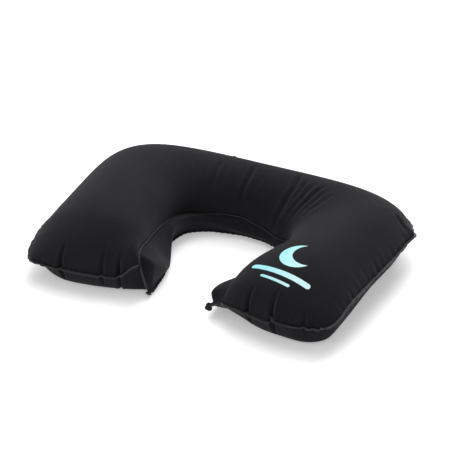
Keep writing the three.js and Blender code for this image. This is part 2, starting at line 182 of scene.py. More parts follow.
class Stations:
    """Cross-sections from the right arm's tip, round the back, to the left arm's tip."""

    def __init__(self, arm_rows, back_rows):
        share = (np.arange(arm_rows) / arm_rows) ** 1.35
        angle = np.pi * np.arange(back_rows + 1) / back_rows
        self.side = np.concatenate([np.ones(arm_rows), np.zeros(back_rows + 1), -np.ones(arm_rows)])
        self.q = np.concatenate([share, np.ones(back_rows + 1), share[::-1]])
        self.angle = np.concatenate([np.zeros(arm_rows), angle, np.full(arm_rows, np.pi)])
        self.arm = self.side != 0
        self.tip_y = np.where(self.side > 0, TIP_Y[1], TIP_Y[-1])

    def per_arm(self, right, left):
        return np.where(self.side > 0, right, left)

    def near_tip(self, share):
        """1 at an arm's tip, falling to 0 at the given share of the arm."""
        return np.where(self.arm, 1 - smooth(self.q / share), 0.0)

    def at_back(self):
        return np.where(self.arm, 0.0, smooth(np.sin(self.angle)))

    def profile(self, right, back, left):
        """A value all along: right and left at ARM_PLACES, back at even steps from +X round to -X."""
        round_back = np.interp(self.angle, np.linspace(0, np.pi, len(back)), back)
        on_arm = self.per_arm(np.interp(self.q, ARM_PLACES, right), np.interp(self.q, ARM_PLACES, left))
        return smoothed(np.where(self.arm, on_arm, round_back), 10)


ROWS = Stations(arm_rows=40, back_rows=108)
print(len(ROWS.q), "stations")


# %% Plan curves
def flared(x, y):
    return x * (1 + SIDE_FLARE * (y - NECK_CENTRE_Y) / FLARE_LENGTH)


def rounded_square(angle, a, b, power):
    return ((np.abs(np.cos(angle)) / a) ** power + (np.abs(np.sin(angle)) / b) ** power) ** (-1 / power)


def arm_side_x(st, y):
    share = np.clip((y - st.tip_y) / (NECK_CENTRE_Y - st.tip_y), 0, 1)
    return flared(TIP_HALF_WIDTH + (HALF_WIDTH - TIP_HALF_WIDTH) * (1 - (1 - share) ** 2), y)


def outer_weld_plan(st):
    r = rounded_square(st.angle, HALF_WIDTH, BACK_REACH, BACK_SQUARENESS)
    back_y = NECK_CENTRE_Y + r * np.sin(st.angle)
    back_x = flared(r * np.cos(st.angle), back_y)
    corner_length = TIP_CORNER_RADIUS * np.pi / 4
    corner_end = st.tip_y + TIP_CORNER_RADIUS
    along = st.q * (corner_length + NECK_CENTRE_Y - corner_end)
    turn = np.pi / 4 * (1 - np.clip(along / corner_length, 0, 1))
    straight_y = corner_end + along - corner_length
    in_corner = along < corner_length
    arm_y = np.where(in_corner, corner_end - TIP_CORNER_RADIUS * np.sin(turn), straight_y)
    corner_x = arm_side_x(st, corner_end) - TIP_CORNER_RADIUS * (1 - np.cos(turn))
    arm_x = st.side * np.where(in_corner, corner_x, arm_side_x(st, straight_y))
    return np.where(st.arm, arm_x, back_x), np.where(st.arm, arm_y, back_y)


def lower_seam_plan(st):
    r = rounded_square(st.angle, NECK_HALF_WIDTH, NECK_BACK_REACH, NECK_SQUARENESS)
    spread = 1 + NECK_CORNER_SPREAD * smooth(np.sin(st.angle)) * np.abs(np.cos(st.angle))
    opening = np.maximum(0, (st.q - MOUTH_STRAIGHT_SHARE) / (1 - MOUTH_STRAIGHT_SHARE)) ** 1.5
    arm_x = st.side * (MOUTH_HALF_WIDTH + (NECK_HALF_WIDTH - MOUTH_HALF_WIDTH) * opening)
    x = np.where(st.arm, arm_x, r * np.cos(st.angle) * spread)
    y = np.where(st.arm, NECK_CENTRE_Y * st.q, NECK_CENTRE_Y + r * np.sin(st.angle))
    return smoothed(x, NECK_SMOOTHING), smoothed(y, NECK_SMOOTHING)


def away_from_neck(st):
    return np.where(st.arm, st.side, np.cos(st.angle)), np.where(st.arm, 0.0, np.sin(st.angle))


print("outer weld", round(float(np.ptp(outer_weld_plan(ROWS)[0])), 1), "mm wide in plan")

# %% [markdown]
# ## Seams in three dimensions
# The outer weld floats at about half height, because the two films pull on it equally. The upper
# neck seam sits lower at the back corners, and at each arm's tip three seams meet in one junction.
# From there the gusset's short end runs down to the ear. The left arm was filled a little more, so
# its junction stands higher.

# %% Heights, in millimetres
ARCH_HEIGHT, BACK_ARCH_HEIGHT, LEFT_ARM_LIFT = 75.5, 74.0, 2.5
SIDE_WELD_HEIGHT, BACK_WELD_HEIGHT, TIP_WELD_HEIGHT = 37.5, 35.0, 25.0
# The upper neck seam's height, and how far it lies behind the lower one. Each is given along the
# right arm from its tip, then at even steps round the back, then along the left arm from its tip.
UPPER_SEAM_HEIGHTS = (
    (21, 32, 34, 33, 32, 32), (32, 24, 16.5, 21.5, 26.5, 26, 24, 29, 34), (43, 50, 46, 40, 37, 34)
)
UPPER_SEAM_SETBACK = (
    (15.5, 18, 20, 22, 22, 20), (20, 9.5, -3, -1, 1, 0.5, -1, 3.5, 8), (6.5, 14.5, 21, 22, 16, 9)
)
# Where three welds meet at each arm's tip, and the ear below it. 1 is the right arm and -1 the left.
JUNCTION = {1: (57.5, 0.5, 21.0), -1: (-48.5, 1.0, 43.0)}
EAR = {1: (42.0, 0.0, 12.0), -1: (-40.0, 6.0, 3.5)}
CORNER_RISE = {1: 4.5, -1: -1.5}  # of the weld at each tip's outer corner
OUTER_FULLNESS, INNER_FULLNESS = 1.3, 0.78
TIP_CLOSING = 77.0
# How far in from the weld the bottom film reaches the floor: round the side, and at each tip beside
# its outer corner and beside the ear.
UNDER_CURL = ((20, 18, 15, 17, 21, 25), (26, 27, 27, 27, 27), (27, 27, 27, 27, 27, 27))
TIP_UNDER_CURL = {1: (15.0, 28.0), -1: (15.0, 16.0)}
# The gusset's ridge, in the same three lists: how far it stands into the neck opening, its share of the
# upper seam's height, and how far the lower seam is tucked back beneath it.
RIDGE_REACH = ((0, 4, 5, 3, 2, 2), (2, 4, 6, 6, 6, 8, 11, 8, 4), (0, 4, 5, 3, 2, 3))
RIDGE_RISE = (
    (0.5, 0.8, 0.6, 0.3, 0.3, 0.3), (0.3, 0.4, 0.5, 0.45, 0.42, 0.64, 0.94, 0.95, 0.85),
    (0.5, 0.85, 0.6, 0.15, 0.4, 0.85),
)
LOWER_TUCK = ((0, 0, 2, 3, 3, 3), (3, 3, 3, 4, 4, 1, 0, 4, 8), (0, 0, 2, 3, 8, 8))
FLOOR_GAP = 0.3
TIP_BLEND = 0.4  # share of an arm over which its tip's own shape fades out
print("junctions at", JUNCTION[1][2], "and", JUNCTION[-1][2], "mm, right and left")


# %% Seam curves
def stack(x, y, z):
    return np.stack(np.broadcast_arrays(x, y, z), -1).astype(float)


def outer_weld(st):
    x, y = outer_weld_plan(st)
    corner = TIP_WELD_HEIGHT + st.per_arm(CORNER_RISE[1], CORNER_RISE[-1])
    side = SIDE_WELD_HEIGHT + (corner - SIDE_WELD_HEIGHT) * st.near_tip(0.45)
    return stack(x, y, side + (BACK_WELD_HEIGHT - side) * st.at_back())


def junction(side):
    return np.array(JUNCTION[side])


def ear(side):
    return np.array(EAR[side])


def upper_seam(st):
    setback = st.profile(*UPPER_SEAM_SETBACK)
    x, y = lower_seam_plan(st)
    out_x, out_y = away_from_neck(st)
    y = y + out_y * setback + st.per_arm(JUNCTION[1][1], JUNCTION[-1][1]) * st.near_tip(0.5)
    return stack(x + out_x * setback, y, st.profile(*UPPER_SEAM_HEIGHTS))


def lower_seam(st):
    x, y = lower_seam_plan(st)
    out_x, out_y = away_from_neck(st)
    tuck = st.profile(*LOWER_TUCK)
    ear_x, ear_y, ear_z = (st.per_arm(EAR[1][k], EAR[-1][k]) for k in range(3))
    near = st.near_tip(0.3)
    x = x + out_x * tuck + (ear_x - st.side * MOUTH_HALF_WIDTH) * near
    return stack(x, y + out_y * tuck + ear_y * near, FLOOR_GAP + (ear_z - FLOOR_GAP) * near)


def end_bow(h):
    return TIP_BOW * np.sin(np.pi * np.clip(h, 0, 1)) ** TIP_BOW_SHARPNESS


def end_weld_height(h, junction_z, corner_rise):
    to_junction = (junction_z - TIP_WELD_HEIGHT) * smooth((h - 0.8) / 0.2)
    return TIP_WELD_HEIGHT + to_junction + corner_rise * (1 - smooth(h / 0.4))


seam_heights = upper_seam(ROWS)[:, 2]
print("upper neck seam", seam_heights.min().round(1), "to", seam_heights.max().round(1), "mm high")

# %% [markdown]
# ## Three films as grids
# A film is a grid: one row for each station, and columns that run across the film from seam to
# seam. All three grids share their seam points exactly, so together they close into one airtight
# skin. Columns bunch up near the welds, where the shape turns fastest.

# %% Film grids
TOP_COLUMNS, GUSSET_COLUMNS = 36, 8
GUSSET_END_SHARE = 0.15
PHI = np.linspace(0, np.pi, TOP_COLUMNS + 1)
ACROSS = (1 - np.cos(PHI)) / 2


def between(a, b, t):
    """Points from a to b for each row, at the shares t."""
    return a[:, None] * (1 - t[None, :, None]) + b[:, None] * t[None, :, None]


def top_grid(st):
    weld, seam = outer_weld(st), upper_seam(st)
    grid = between(weld, seam, ACROSS)
    tip = st.near_tip(TIP_BLEND)[:, None]
    end_z = st.per_arm(JUNCTION[1][2], JUNCTION[-1][2])[:, None]
    rise = st.per_arm(CORNER_RISE[1], CORNER_RISE[-1])[:, None]
    straight = (TIP_WELD_HEIGHT + rise) * (1 - ACROSS) + end_z * ACROSS
    grid[..., 1] -= end_bow(ACROSS) * tip
    grid[..., 2] += (end_weld_height(ACROSS, end_z, rise) - straight) * tip
    lift = LEFT_ARM_LIFT * 2 * (smooth(st.angle / np.pi) - 0.5)
    crown = ARCH_HEIGHT + (BACK_ARCH_HEIGHT - ARCH_HEIGHT) * st.at_back() + lift
    from_tip = np.where(st.arm, np.minimum(1, st.q * NECK_CENTRE_Y / TIP_CLOSING), 1)
    closing = np.sqrt(1 - (1 - from_tip) ** 2)
    fullness = np.where(PHI < np.pi / 2, OUTER_FULLNESS, INNER_FULLNESS)
    swell = np.abs(np.sin(PHI)) ** fullness
    swell[[0, -1]] = 0
    grid[..., 2] += ((crown - (weld[:, 2] + seam[:, 2]) / 2) * closing)[:, None] * swell
    return grid


def bottom_edge_at_tip(side):
    """The bottom film's end: along the end weld to the junction, then down to the ear."""
    one = Stations(1, 1)
    corner = outer_weld(one)[0 if side > 0 else -1]
    weld = between(corner[None], junction(side)[None], ACROSS)[0]
    weld[:, 1] -= end_bow(ACROSS)
    weld[:, 2] = end_weld_height(ACROSS, JUNCTION[side][2], CORNER_RISE[side])
    steps = np.linspace(0, 1, GUSSET_COLUMNS + 1)[1:]
    down = between(junction(side)[None], ear(side)[None], steps)[0]
    return np.concatenate([weld, down]), corner


def bottom_grid(st):
    steps = np.linspace(0, 1, GUSSET_COLUMNS + 1)[1:]
    s = np.concatenate([ACROSS * (1 - GUSSET_END_SHARE), 1 - GUSSET_END_SHARE * (1 - steps)])
    weld, seam = outer_weld(st), lower_seam(st)
    grid = between(weld, seam, s)
    width = np.hypot(*(weld - seam)[:, :2].T)[:, None]
    from_side = np.maximum(0, 2 - s * width / st.profile(*UNDER_CURL)[:, None])
    grid[..., 2] = FLOOR_GAP + (weld[:, 2:3] - FLOOR_GAP) * np.clip(from_side - 1, 0, 1) ** 2
    for side in (1, -1):
        mine = st.side == side
        edge, corner = bottom_edge_at_tip(side)
        straight = between(corner[None], ear(side)[None], s)[0]
        share = st.near_tip(TIP_BLEND)[mine, None, None]
        shifted = grid[mine, :, :2] + (edge - straight)[None, :, :2] * share
        beside_corner, beside_ear = TIP_UNDER_CURL[side]
        curl = beside_corner + (beside_ear - beside_corner) * smooth((s - 0.5) / 0.4)
        from_tip = np.maximum(0, 2 - st.q[mine, None] * NECK_CENTRE_Y / curl)
        beside = from_side[mine]
        lifted = np.clip(np.hypot(beside, from_tip) - 1, 0, 1) ** 2
        rim = (beside * weld[mine, 2:3] + from_tip * edge[:, 2]) / np.maximum(beside + from_tip, 1e-6)
        z = FLOOR_GAP + (rim - FLOOR_GAP) * lifted
        z[0 if side > 0 else -1] = edge[:, 2]
        grid[mine] = np.concatenate([shifted, z[..., None]], -1)
    hem = FLOOR_GAP + (seam[:, 2:3] - FLOOR_GAP) * smooth((s - 0.8) / 0.2)
    grid[..., 2] = np.maximum(grid[..., 2], hem)
    return grid


def gusset_grid(st):
    """A Bezier section from seam to seam, pulled into the neck opening so that it turns on a ridge."""
    g = np.linspace(0, 1, GUSSET_COLUMNS + 1)[None, :, None]
    upper, lower = upper_seam(st), lower_seam(st)
    plan_x, plan_y = lower_seam_plan(st)
    out_x, out_y = away_from_neck(st)
    reach, rise = st.profile(*RIDGE_REACH), st.profile(*RIDGE_RISE)
    ridge = stack(plan_x - out_x * reach, plan_y - out_y * reach, upper[:, 2] * rise)
    flat = st.near_tip(0.12)[:, None]
    ridge = ridge * (1 - flat) + (upper + lower) / 2 * flat
    pull = ((8 * ridge - upper - lower) / 6)[:, None]
    upper, lower = upper[:, None], lower[:, None]
    return upper * (1 - g) ** 3 + 3 * pull * g * (1 - g) + lower * g**3


films = {"top": top_grid(ROWS), "bottom": bottom_grid(ROWS), "gusset": gusset_grid(ROWS)}
for row in (0, -1):
    films["top"][row] = films["bottom"][row, : TOP_COLUMNS + 1]
    films["gusset"][row] = films["bottom"][row, TOP_COLUMNS:]
films["bottom"][:, 0] = films["top"][:, 0]
films["gusset"][:, 0] = films["top"][:, -1]
films["gusset"][:, -1] = films["bottom"][:, -1]
for name, grid in films.items():
    print(name, grid.shape[:2], "points, highest", round(float(grid[..., 2].max()), 1), "mm")

# %% [markdown]
# ## Finer grids
# The formulas gave cells of about five millimetres, too coarse for a crease. Each grid is now
# resampled with a smooth cubic that passes through every point it had, and is finest where creases
# will come. Neighbouring films share a seam's points, so they still share it afterwards.

# %% Resample
def resampled(grid, at, axis):
    """Catmull-Rom points of a grid at any places along its rows or columns."""
    g = np.moveaxis(grid, axis, 0)
    n = len(g)
    i = np.minimum(at.astype(int), n - 2)
    t = (at - i).reshape(-1, *[1] * (g.ndim - 1))
    p0, p1, p2, p3 = g[np.maximum(i - 1, 0)], g[i], g[i + 1], g[np.minimum(i + 2, n - 1)]
    out = p1 + 0.5 * t * (p2 - p0 + t * (2 * p0 - 5 * p1 + 4 * p2 - p3 + t * (3 * (p1 - p2) + p3 - p0)))
    return np.moveaxis(out, 0, axis)


def places(count, step, closer):
    """Places from 0 to count - 1, one step apart, and closer together inside the given spans."""
    at = [0.0]
    while at[-1] < count - 1:
        finest = min([step] + [fine for low, high, fine in closer if low <= at[-1] < high])
        at.append(at[-1] + finest)
    at = np.array(at)
    return at * (count - 1) / at[-1]


# side, share of the end weld from its outer corner, depth, reach above and below the weld, lean,
# and how much higher the weld comes out of the pinch on its neck side
PINCHES = (
    (1, 0.05, 1.5, 16, 8, 0.10, 0.0),
    (1, 0.135, 2.6, 24, 20, 0.08, 0.0),
    (1, 0.30, 0.8, 14, 8, 0.0, 0.0),
    (1, 0.448, 5.4, 40, 26, 0.06, 6.5),
    (1, 0.703, 4.8, 34, 24, 0.06, 0.6),
    (-1, 0.10, 0.8, 12, 8, 0.0, 0.0),
    (-1, 0.309, 5.6, 34, 26, -0.02, 1.6),
    (-1, 0.691, 4.4, 36, 18, 0.0, 0.6),
    (-1, 0.835, 6.4, 28, 38, 0.02, 0.0),
)
PINCH_WIDTH, STEP_FADE = 2.3, 14
FINE, COARSE_COLUMN, COARSE_ROW = 0.14, 0.4, 0.5


def column_of(h):
    """The coarse column at a share of the end weld."""
    return TOP_COLUMNS * math.acos(1 - 2 * h) / math.pi


pinch_spans = [(column_of(h) - 0.7, column_of(h) + 0.7, FINE) for _, h, *_ in PINCHES]
weld_columns = places(TOP_COLUMNS + 1, COARSE_COLUMN, pinch_spans)
gusset_columns = places(GUSSET_COLUMNS + 1, COARSE_COLUMN, [])
COLUMNS_AT = {
    "top": weld_columns,
    "bottom": np.concatenate([weld_columns, TOP_COLUMNS + gusset_columns[1:]]),
    "gusset": gusset_columns,
}
ARM_ROWS = int((ROWS.side > 0).sum())
# Rows are closer near the right tip, and round the back where the folds are.
ROWS_AT = places(len(ROWS.q), COARSE_ROW, [(0, 12, 0.34), (ARM_ROWS + 10, ARM_ROWS + 72, 0.34)])
films = {
    name: resampled(resampled(grid, ROWS_AT, 0), COLUMNS_AT[name], 1) for name, grid in films.items()
}
print("fine grids", {name: grid.shape[:2] for name, grid in films.items()})

# %% [markdown]
# ## Creases
# Creases are added by moving points, so that they have a real shape from every side. At the arm
# tips the end weld is pinched into short sharp valleys that cut right across it. Each is a valley
# with a small ridge on either side, which is what buckled film does.

# %% Pinches across the end welds
def valley(u):
    """A crease's section: 1 deep at the middle, with a low ridge on both sides."""
    return np.exp(-np.abs(u) ** 1.6) - 0.30 * np.exp(-(((np.abs(u) - 2.2) / 1.0) ** 2))


def end_weld_point(side, h):
    edge, _ = bottom_edge_at_tip(side)
    return np.array([np.interp(h, ACROSS, edge[: TOP_COLUMNS + 1, k]) for k in range(3)])


def pinched(points):
    moved = points.copy()
    for side, h, depth, above, below, lean, step in PINCHES:
        centre = end_weld_point(side, h)
        near = end_weld_point(side, min(1, h + 0.02)) - end_weld_point(side, max(0, h - 0.02))
        along = near[:2] / np.linalg.norm(near[:2])
        inward = np.array([-along[1], along[0]])
        inward = inward if inward[1] > 0 else -inward
        offset = points - centre
        up = offset[..., 2]
        across = offset[..., :2] @ along - lean * up
        deep = offset[..., :2] @ inward
        length = np.where(up > 0, above, below)
        reach = np.sqrt(np.maximum(deep, 0) ** 2 + up**2) / length
        fade = np.where(points[..., 0] * side > 0, np.clip(1 - reach, 0, 1) ** 0.75, 0)
        push = depth * fade * valley(across / (PINCH_WIDTH * (0.55 + 0.45 * fade)))
        slope = np.clip(up / 30, -0.5, 1)
        moved[..., 0] += inward[0] * push
        moved[..., 1] += inward[1] * push * (1 - 0.4 * np.abs(slope))
        moved[..., 2] -= push * slope * 0.9
        neck_side = -across * side
        lifted = smooth(neck_side / 2 + 0.5) * np.exp(-np.maximum(neck_side, 0) / STEP_FADE)
        lifted *= np.exp(-((reach * length / STEP_FADE) ** 2)) * (points[..., 0] * side > 0)
        moved[..., 2] += step * lifted
    moved[..., 2] = np.maximum(moved[..., 2], FLOOR_GAP)
    return moved


films = {name: pinched(grid) for name, grid in films.items()}
print(len(PINCHES), "pinches")

# %% [markdown]
# ## Folds round the bend
# Round the inside of the bend the top film has more length than it needs, and gathers it into long
# soft folds that run towards the neck. They could come from a cloth simulation, but then each would
# lie where chance puts it. Here each fold is a short line in plan, and the film beside it is
# pressed in along its own normal.

# %% Folds round the inside of the bend
# plan points from the crown towards the neck, with the fold's depth and half width
FOLDS = (
    ([(-101, 205), (-96, 176), (-88, 150)], 0.7, 3.4),
    ([(-117, 190), (-108, 170), (-98, 150)], 0.4, 3.8),
    ([(-80, 214), (-69, 188), (-60, 168)], 1.3, 2.6),
    ([(-63, 212), (-57, 188), (-51, 170)], 0.7, 2.6),
    ([(-48, 222), (-45, 196), (-43, 176)], 1.3, 2.8),
    ([(-37, 216), (-35, 196), (-34, 180)], 0.9, 2.4),
    ([(-5, 230), (-3, 203), (-4, 178)], 2.2, 2.6),
    ([(13, 212), (11, 198), (9, 184)], 0.6, 3.0),
    ([(54, 236), (58, 206), (52, 176), (45, 166)], 2.6, 2.8),
    ([(68, 226), (65, 200), (57, 172)], 1.3, 2.5),
    ([(80, 222), (73, 194), (62, 168)], 1.4, 2.5),
    ([(92, 220), (82, 192), (69, 166)], 2.0, 2.5),
    ([(101, 214), (90, 190), (76, 166)], 1.3, 2.4),
    ([(110, 208), (98, 186), (82, 163)], 0.9, 2.6),
    ([(184, 211), (193, 206), (203, 199)], 2.2, 2.4),
)


def grid_normals(grid):
    n = unit(np.cross(np.gradient(grid, axis=0), np.gradient(grid, axis=1)))
    return n if n[len(n) // 2, n.shape[1] // 2, 2] > 0 else -n


def folded(grid):
    normals = grid_normals(grid)
    push = np.zeros(grid.shape[:2])
    plan = grid[..., :2]
    for line, depth, width in FOLDS:
        line = np.array(line, float)
        legs = np.linalg.norm(np.diff(line, axis=0), axis=1)
        start = np.concatenate([[0], np.cumsum(legs)])
        best = np.full(push.shape, np.inf)
        where = np.zeros(push.shape)
        for k, leg in enumerate(legs):
            a, along = line[k], (line[k + 1] - line[k]) / leg
            first, last = k == 0, k == len(legs) - 1
            t = np.clip((plan - a) @ along, -6 if first else 0, leg + 6 if last else leg)
            gap = np.linalg.norm(plan - a - t[..., None] * along, axis=-1)
            nearer = gap < best
            best = np.where(nearer, gap, best)
            where = np.where(nearer, (start[k] + t) / start[-1], where)
        fade = smooth(where / 0.3) * smooth((1.05 - where) / 0.35)
        push -= depth * fade * valley(best / width)
    from_edge = np.minimum(1, np.arange(grid.shape[1]) / 4)
    return grid + normals * (push * from_edge * from_edge[::-1])[..., None]


films["top"] = folded(films["top"])
print(len(FOLDS), "folds")

# %% [markdown]
# ## Puckers along the outer weld
# A weld is shorter than the round film it closes, so the film beside it puckers every centimetre or
# so. Each pucker gets its own strength and reach from a seeded draw. At the back right corner the
# weld has sprung outwards into a small knob, as a corner of spare film does.

# %% Puckers along the outer weld, and the knob at its back right corner
PUCKER_PITCH, PUCKER_WIDTH, PUCKER_REACH, PUCKER = 13.0, 2.6, (6.0, 22.0), 1.1
KNOB, KNOB_WAY = np.array([207.0, 207.0, 40.0]), np.array([0.8, 0.6, 0.05])
KNOB_PROUD, KNOB_REACH = 5.5, 8.5


def puckered(films):
    """Pushes the films in and out beside the outer weld, both alike at the weld itself."""
    path = films["top"][:, 0]
    along = unit(np.gradient(path, axis=0) * [1, 1, 0])
    outward = np.stack([along[:, 1], -along[:, 0], along[:, 2]], 1)
    outward *= np.sign((outward[:, :2] * (path[:, :2] - [0, NECK_CENTRE_Y])).sum(1))[:, None]
    s_along = np.concatenate([[0], np.cumsum(np.linalg.norm(np.diff(path, axis=0), axis=1))])
    draw = np.random.default_rng(3)
    knots = np.arange(0, s_along[-1] + 2 * PUCKER_PITCH, PUCKER_PITCH)
    knots = knots + draw.uniform(-0.25, 0.25, len(knots)) * PUCKER_PITCH
    strength = draw.uniform(0.3, 1.0, len(knots))
    ends = smooth(np.minimum(s_along, s_along[-1] - s_along) / 40)
    for name in ("top", "bottom"):
        grid = films[name]
        gap = np.linalg.norm(grid - path[:, None], axis=-1)
        reach = draw.uniform(*PUCKER_REACH, len(knots))
        push = np.zeros(gap.shape)
        for at, deep, far in zip(knots, strength, reach):
            section = valley((s_along - at) / PUCKER_WIDTH)[:, None]
            push += deep * section * np.exp(-((gap / far) ** 2))
        grid -= outward[:, None] * (PUCKER * push * ends[:, None])[..., None]
        near = np.exp(-((np.linalg.norm(grid - KNOB, axis=-1) / KNOB_REACH) ** 2))
        grid += KNOB_WAY * (KNOB_PROUD * near)[..., None]
        grid[..., 2] = np.maximum(grid[..., 2], FLOOR_GAP)
    return films


films = puckered(films)
print("outer weld puckered")

# %% [markdown]
# ## A seat for the valve
# The valve is a flat disc on a curved film, so the film flattens under it. Its place and axes are
# read from the frame's own joints: the stem slides along the valve's axis, and the stopper's hinge
# is level with the disc.

# %% The valve's place
hinge = next(j for j in frame["joints"] if j["name"] == "stopper_swing_open")
slide = next(j for j in frame["joints"] if j["name"] == "stem_pull_out")
VALVE_OUT = np.array(slide["axis"], float)
VALVE_SIDE = -np.array(hinge["axis"], float)
VALVE_UP = np.cross(VALVE_OUT, VALVE_SIDE)
STOPPER_HINGE_UP, STOPPER_HINGE_OUT = 9.5, 4.05
TO_HINGE = STOPPER_HINGE_UP * VALVE_UP + STOPPER_HINGE_OUT * VALVE_OUT
VALVE_ORIGIN = np.array(hinge["pos_m"]) / MM - TO_HINGE
SEAT_RADIUS, SEAT_BLEND, SEAT_DEPTH = 12.0, 6.0, 0.95


def seated(grid):
    """Flattens the film into a round seat under the valve's flange."""
    offset = grid + np.array([0, EARS_Y, 0]) - VALVE_ORIGIN
    out = offset @ VALVE_OUT
    radius = np.hypot(offset @ VALVE_SIDE, offset @ VALVE_UP)
    share = smooth((SEAT_RADIUS + SEAT_BLEND - radius) / SEAT_BLEND) * (np.abs(out) < 25)
    return grid - VALVE_OUT * (share * (out + SEAT_DEPTH))[..., None]


films["top"] = seated(films["top"])
print("valve at", VALVE_ORIGIN.round(1), "mm")

# %% [markdown]
# ## Materials
# Flock is a coat of very short upright fibres. Seen straight on it swallows light, and seen along
# the surface the fibre tips catch it, so it wants a dark base with sheen rather than a glossy
# layer. Where the welding bar pressed the flock flat the finish turns satin. Both finishes share
# one group for the nap, and the upright flock also takes one for handling marks.

# %% Shared groups
def feed(tree, socket, value):
    """Links an output socket to an input, or sets the input's own value."""
    if isinstance(value, bpy.types.NodeSocket):
        tree.links.new(value, socket)
    elif value is not None:
        socket.default_value = value


def node(tree, kind, place, **inputs):
    """A new node, whose named inputs each take a value or an output socket."""
    n = tree.nodes.new(kind)
    n.location = place
    for key, value in inputs.items():
        feed(tree, n.inputs[key.replace("_", " ")], value)
    return n


def noise(tree, place, at, scale, detail, roughness, warp=0.0):
    n = node(tree, "ShaderNodeTexNoise", place, Vector=at, Scale=scale)
    n.inputs["Detail"].default_value = detail
    n.inputs["Roughness"].default_value = roughness
    n.inputs["Distortion"].default_value = warp
    return n.outputs["Fac"]


def scalar_math(tree, operation, *values, clamp=False):
    n = tree.nodes.new("ShaderNodeMath")
    n.operation = operation
    n.use_clamp = clamp
    for socket, value in zip(n.inputs, values):
        feed(tree, socket, value)
    return n.outputs[0]


def vector_math(tree, operation, *values):
    n = tree.nodes.new("ShaderNodeVectorMath")
    n.operation = operation
    for socket, value in zip(n.inputs, values):
        feed(tree, socket, value)
    return n.outputs["Value" if operation == "LENGTH" else "Vector"]


def mix_colour(tree, place, factor, a, b):
    n = tree.nodes.new("ShaderNodeMix")
    n.data_type = "RGBA"
    n.location = place
    for index, value in ((0, factor), (6, a), (7, b)):
        feed(tree, n.inputs[index], value)
    return n.outputs[2]


def ramp(tree, place, value, low, high, from_low, from_high):
    """Maps the span from_low to from_high onto low to high."""
    n = node(tree, "ShaderNodeMapRange", place, Value=value)
    n.inputs["From Min"].default_value, n.inputs["From Max"].default_value = from_low, from_high
    n.inputs["To Min"].default_value, n.inputs["To Max"].default_value = low, high
    return n.outputs["Result"]


def new_group(name, inputs, outputs):
    tree = bpy.data.node_groups.new(name, "ShaderNodeTree")
    for label, kind, value in inputs:
        socket = tree.interface.new_socket(label, in_out="INPUT", socket_type=kind)
        if value is not None:
            socket.default_value = value
    for label, kind in outputs:
        tree.interface.new_socket(label, in_out="OUTPUT", socket_type=kind)
    start = tree.nodes.new("NodeGroupInput")
    end = tree.nodes.new("NodeGroupOutput")
    start.location, end.location = (-900, 0), (700, 0)
    return tree, start, end


def fibre_nap_group():
    """Upright fibres: a fine grain and broader swirls where the pile leans one way or the other."""
    tree, start, end = new_group(
        "fibre_nap",
        [("Fibres per metre", "NodeSocketFloat", 1800.0), ("Swirl per metre", "NodeSocketFloat", 45.0)],
        [("Grain", "NodeSocketFloat"), ("Swirl", "NodeSocketFloat"), ("Height", "NodeSocketFloat")],
    )
    at = node(tree, "ShaderNodeTexCoord", (-900, 300)).outputs["Object"]
    fine, broad = start.outputs["Fibres per metre"], start.outputs["Swirl per metre"]
    grain = noise(tree, (-500, 200), at, fine, 4.0, 0.7)
    swirl = noise(tree, (-500, -100), at, broad, 5.0, 0.6, warp=0.8)
    lumps = noise(tree, (-500, -400), at, 420.0, 3.0, 0.6)
    height = scalar_math(tree, "MULTIPLY_ADD", lumps, 0.6, grain)
    tree.links.new(grain, end.inputs["Grain"])
    tree.links.new(swirl, end.inputs["Swirl"])
    tree.links.new(height, end.inputs["Height"])
    return tree


def lint_group():
    """Rare pale specks of lint, and a soft mask of rubbed patches."""
    tree, start, end = new_group(
        "lint_and_rub",
        [("Specks per metre", "NodeSocketFloat", 160.0), ("Speck size", "NodeSocketFloat", 0.06)],
        [("Lint", "NodeSocketFloat"), ("Rub", "NodeSocketFloat")],
    )
    at = node(tree, "ShaderNodeTexCoord", (-900, 300)).outputs["Object"]
    often = start.outputs["Specks per metre"]
    cells = node(tree, "ShaderNodeTexVoronoi", (-500, 200), Vector=at, Scale=often)
    speck = scalar_math(tree, "LESS_THAN", cells.outputs["Distance"], start.outputs["Speck size"])
    rare = scalar_math(tree, "GREATER_THAN", cells.outputs["Color"], 0.82)
    tree.links.new(scalar_math(tree, "MULTIPLY", speck, rare), end.inputs["Lint"])
    tree.links.new(noise(tree, (-500, -200), at, 9.0, 3.0, 0.5), end.inputs["Rub"])
    return tree


NAP, LINT = fibre_nap_group(), lint_group()
print("groups", NAP.name, LINT.name)


# %% Finishes
def group_node(tree, group, place, **inputs):
    n = tree.nodes.new("ShaderNodeGroup")
    n.node_tree = group
    n.location = place
    for key, value in inputs.items():
        feed(tree, n.inputs[key.replace("_", " ")], value)
    return n


def new_finish(name):
    """An empty finish: its material, node tree and main shader."""
    material = bpy.data.materials.new(name)
    material.use_nodes = True
    return material, material.node_tree, material.node_tree.nodes["Principled BSDF"]


def bumped(tree, shader, height, strength, distance):
    bump = node(tree, "ShaderNodeBump", (300, -400), Strength=strength, Height=height)
    bump.inputs["Distance"].default_value = distance
    tree.links.new(bump.outputs["Normal"], shader.inputs["Normal"])


FLOCK_DARK, FLOCK_LIGHT = (0.0075, 0.0075, 0.0085, 1), (0.019, 0.019, 0.0215, 1)
FLOCK_MIDDLE = tuple(0.5 * (a + b) for a, b in zip(FLOCK_DARK, FLOCK_LIGHT))
LINT_GREY, SHEEN_GREY = (0.07, 0.07, 0.075, 1), (0.80, 0.80, 0.85, 1)


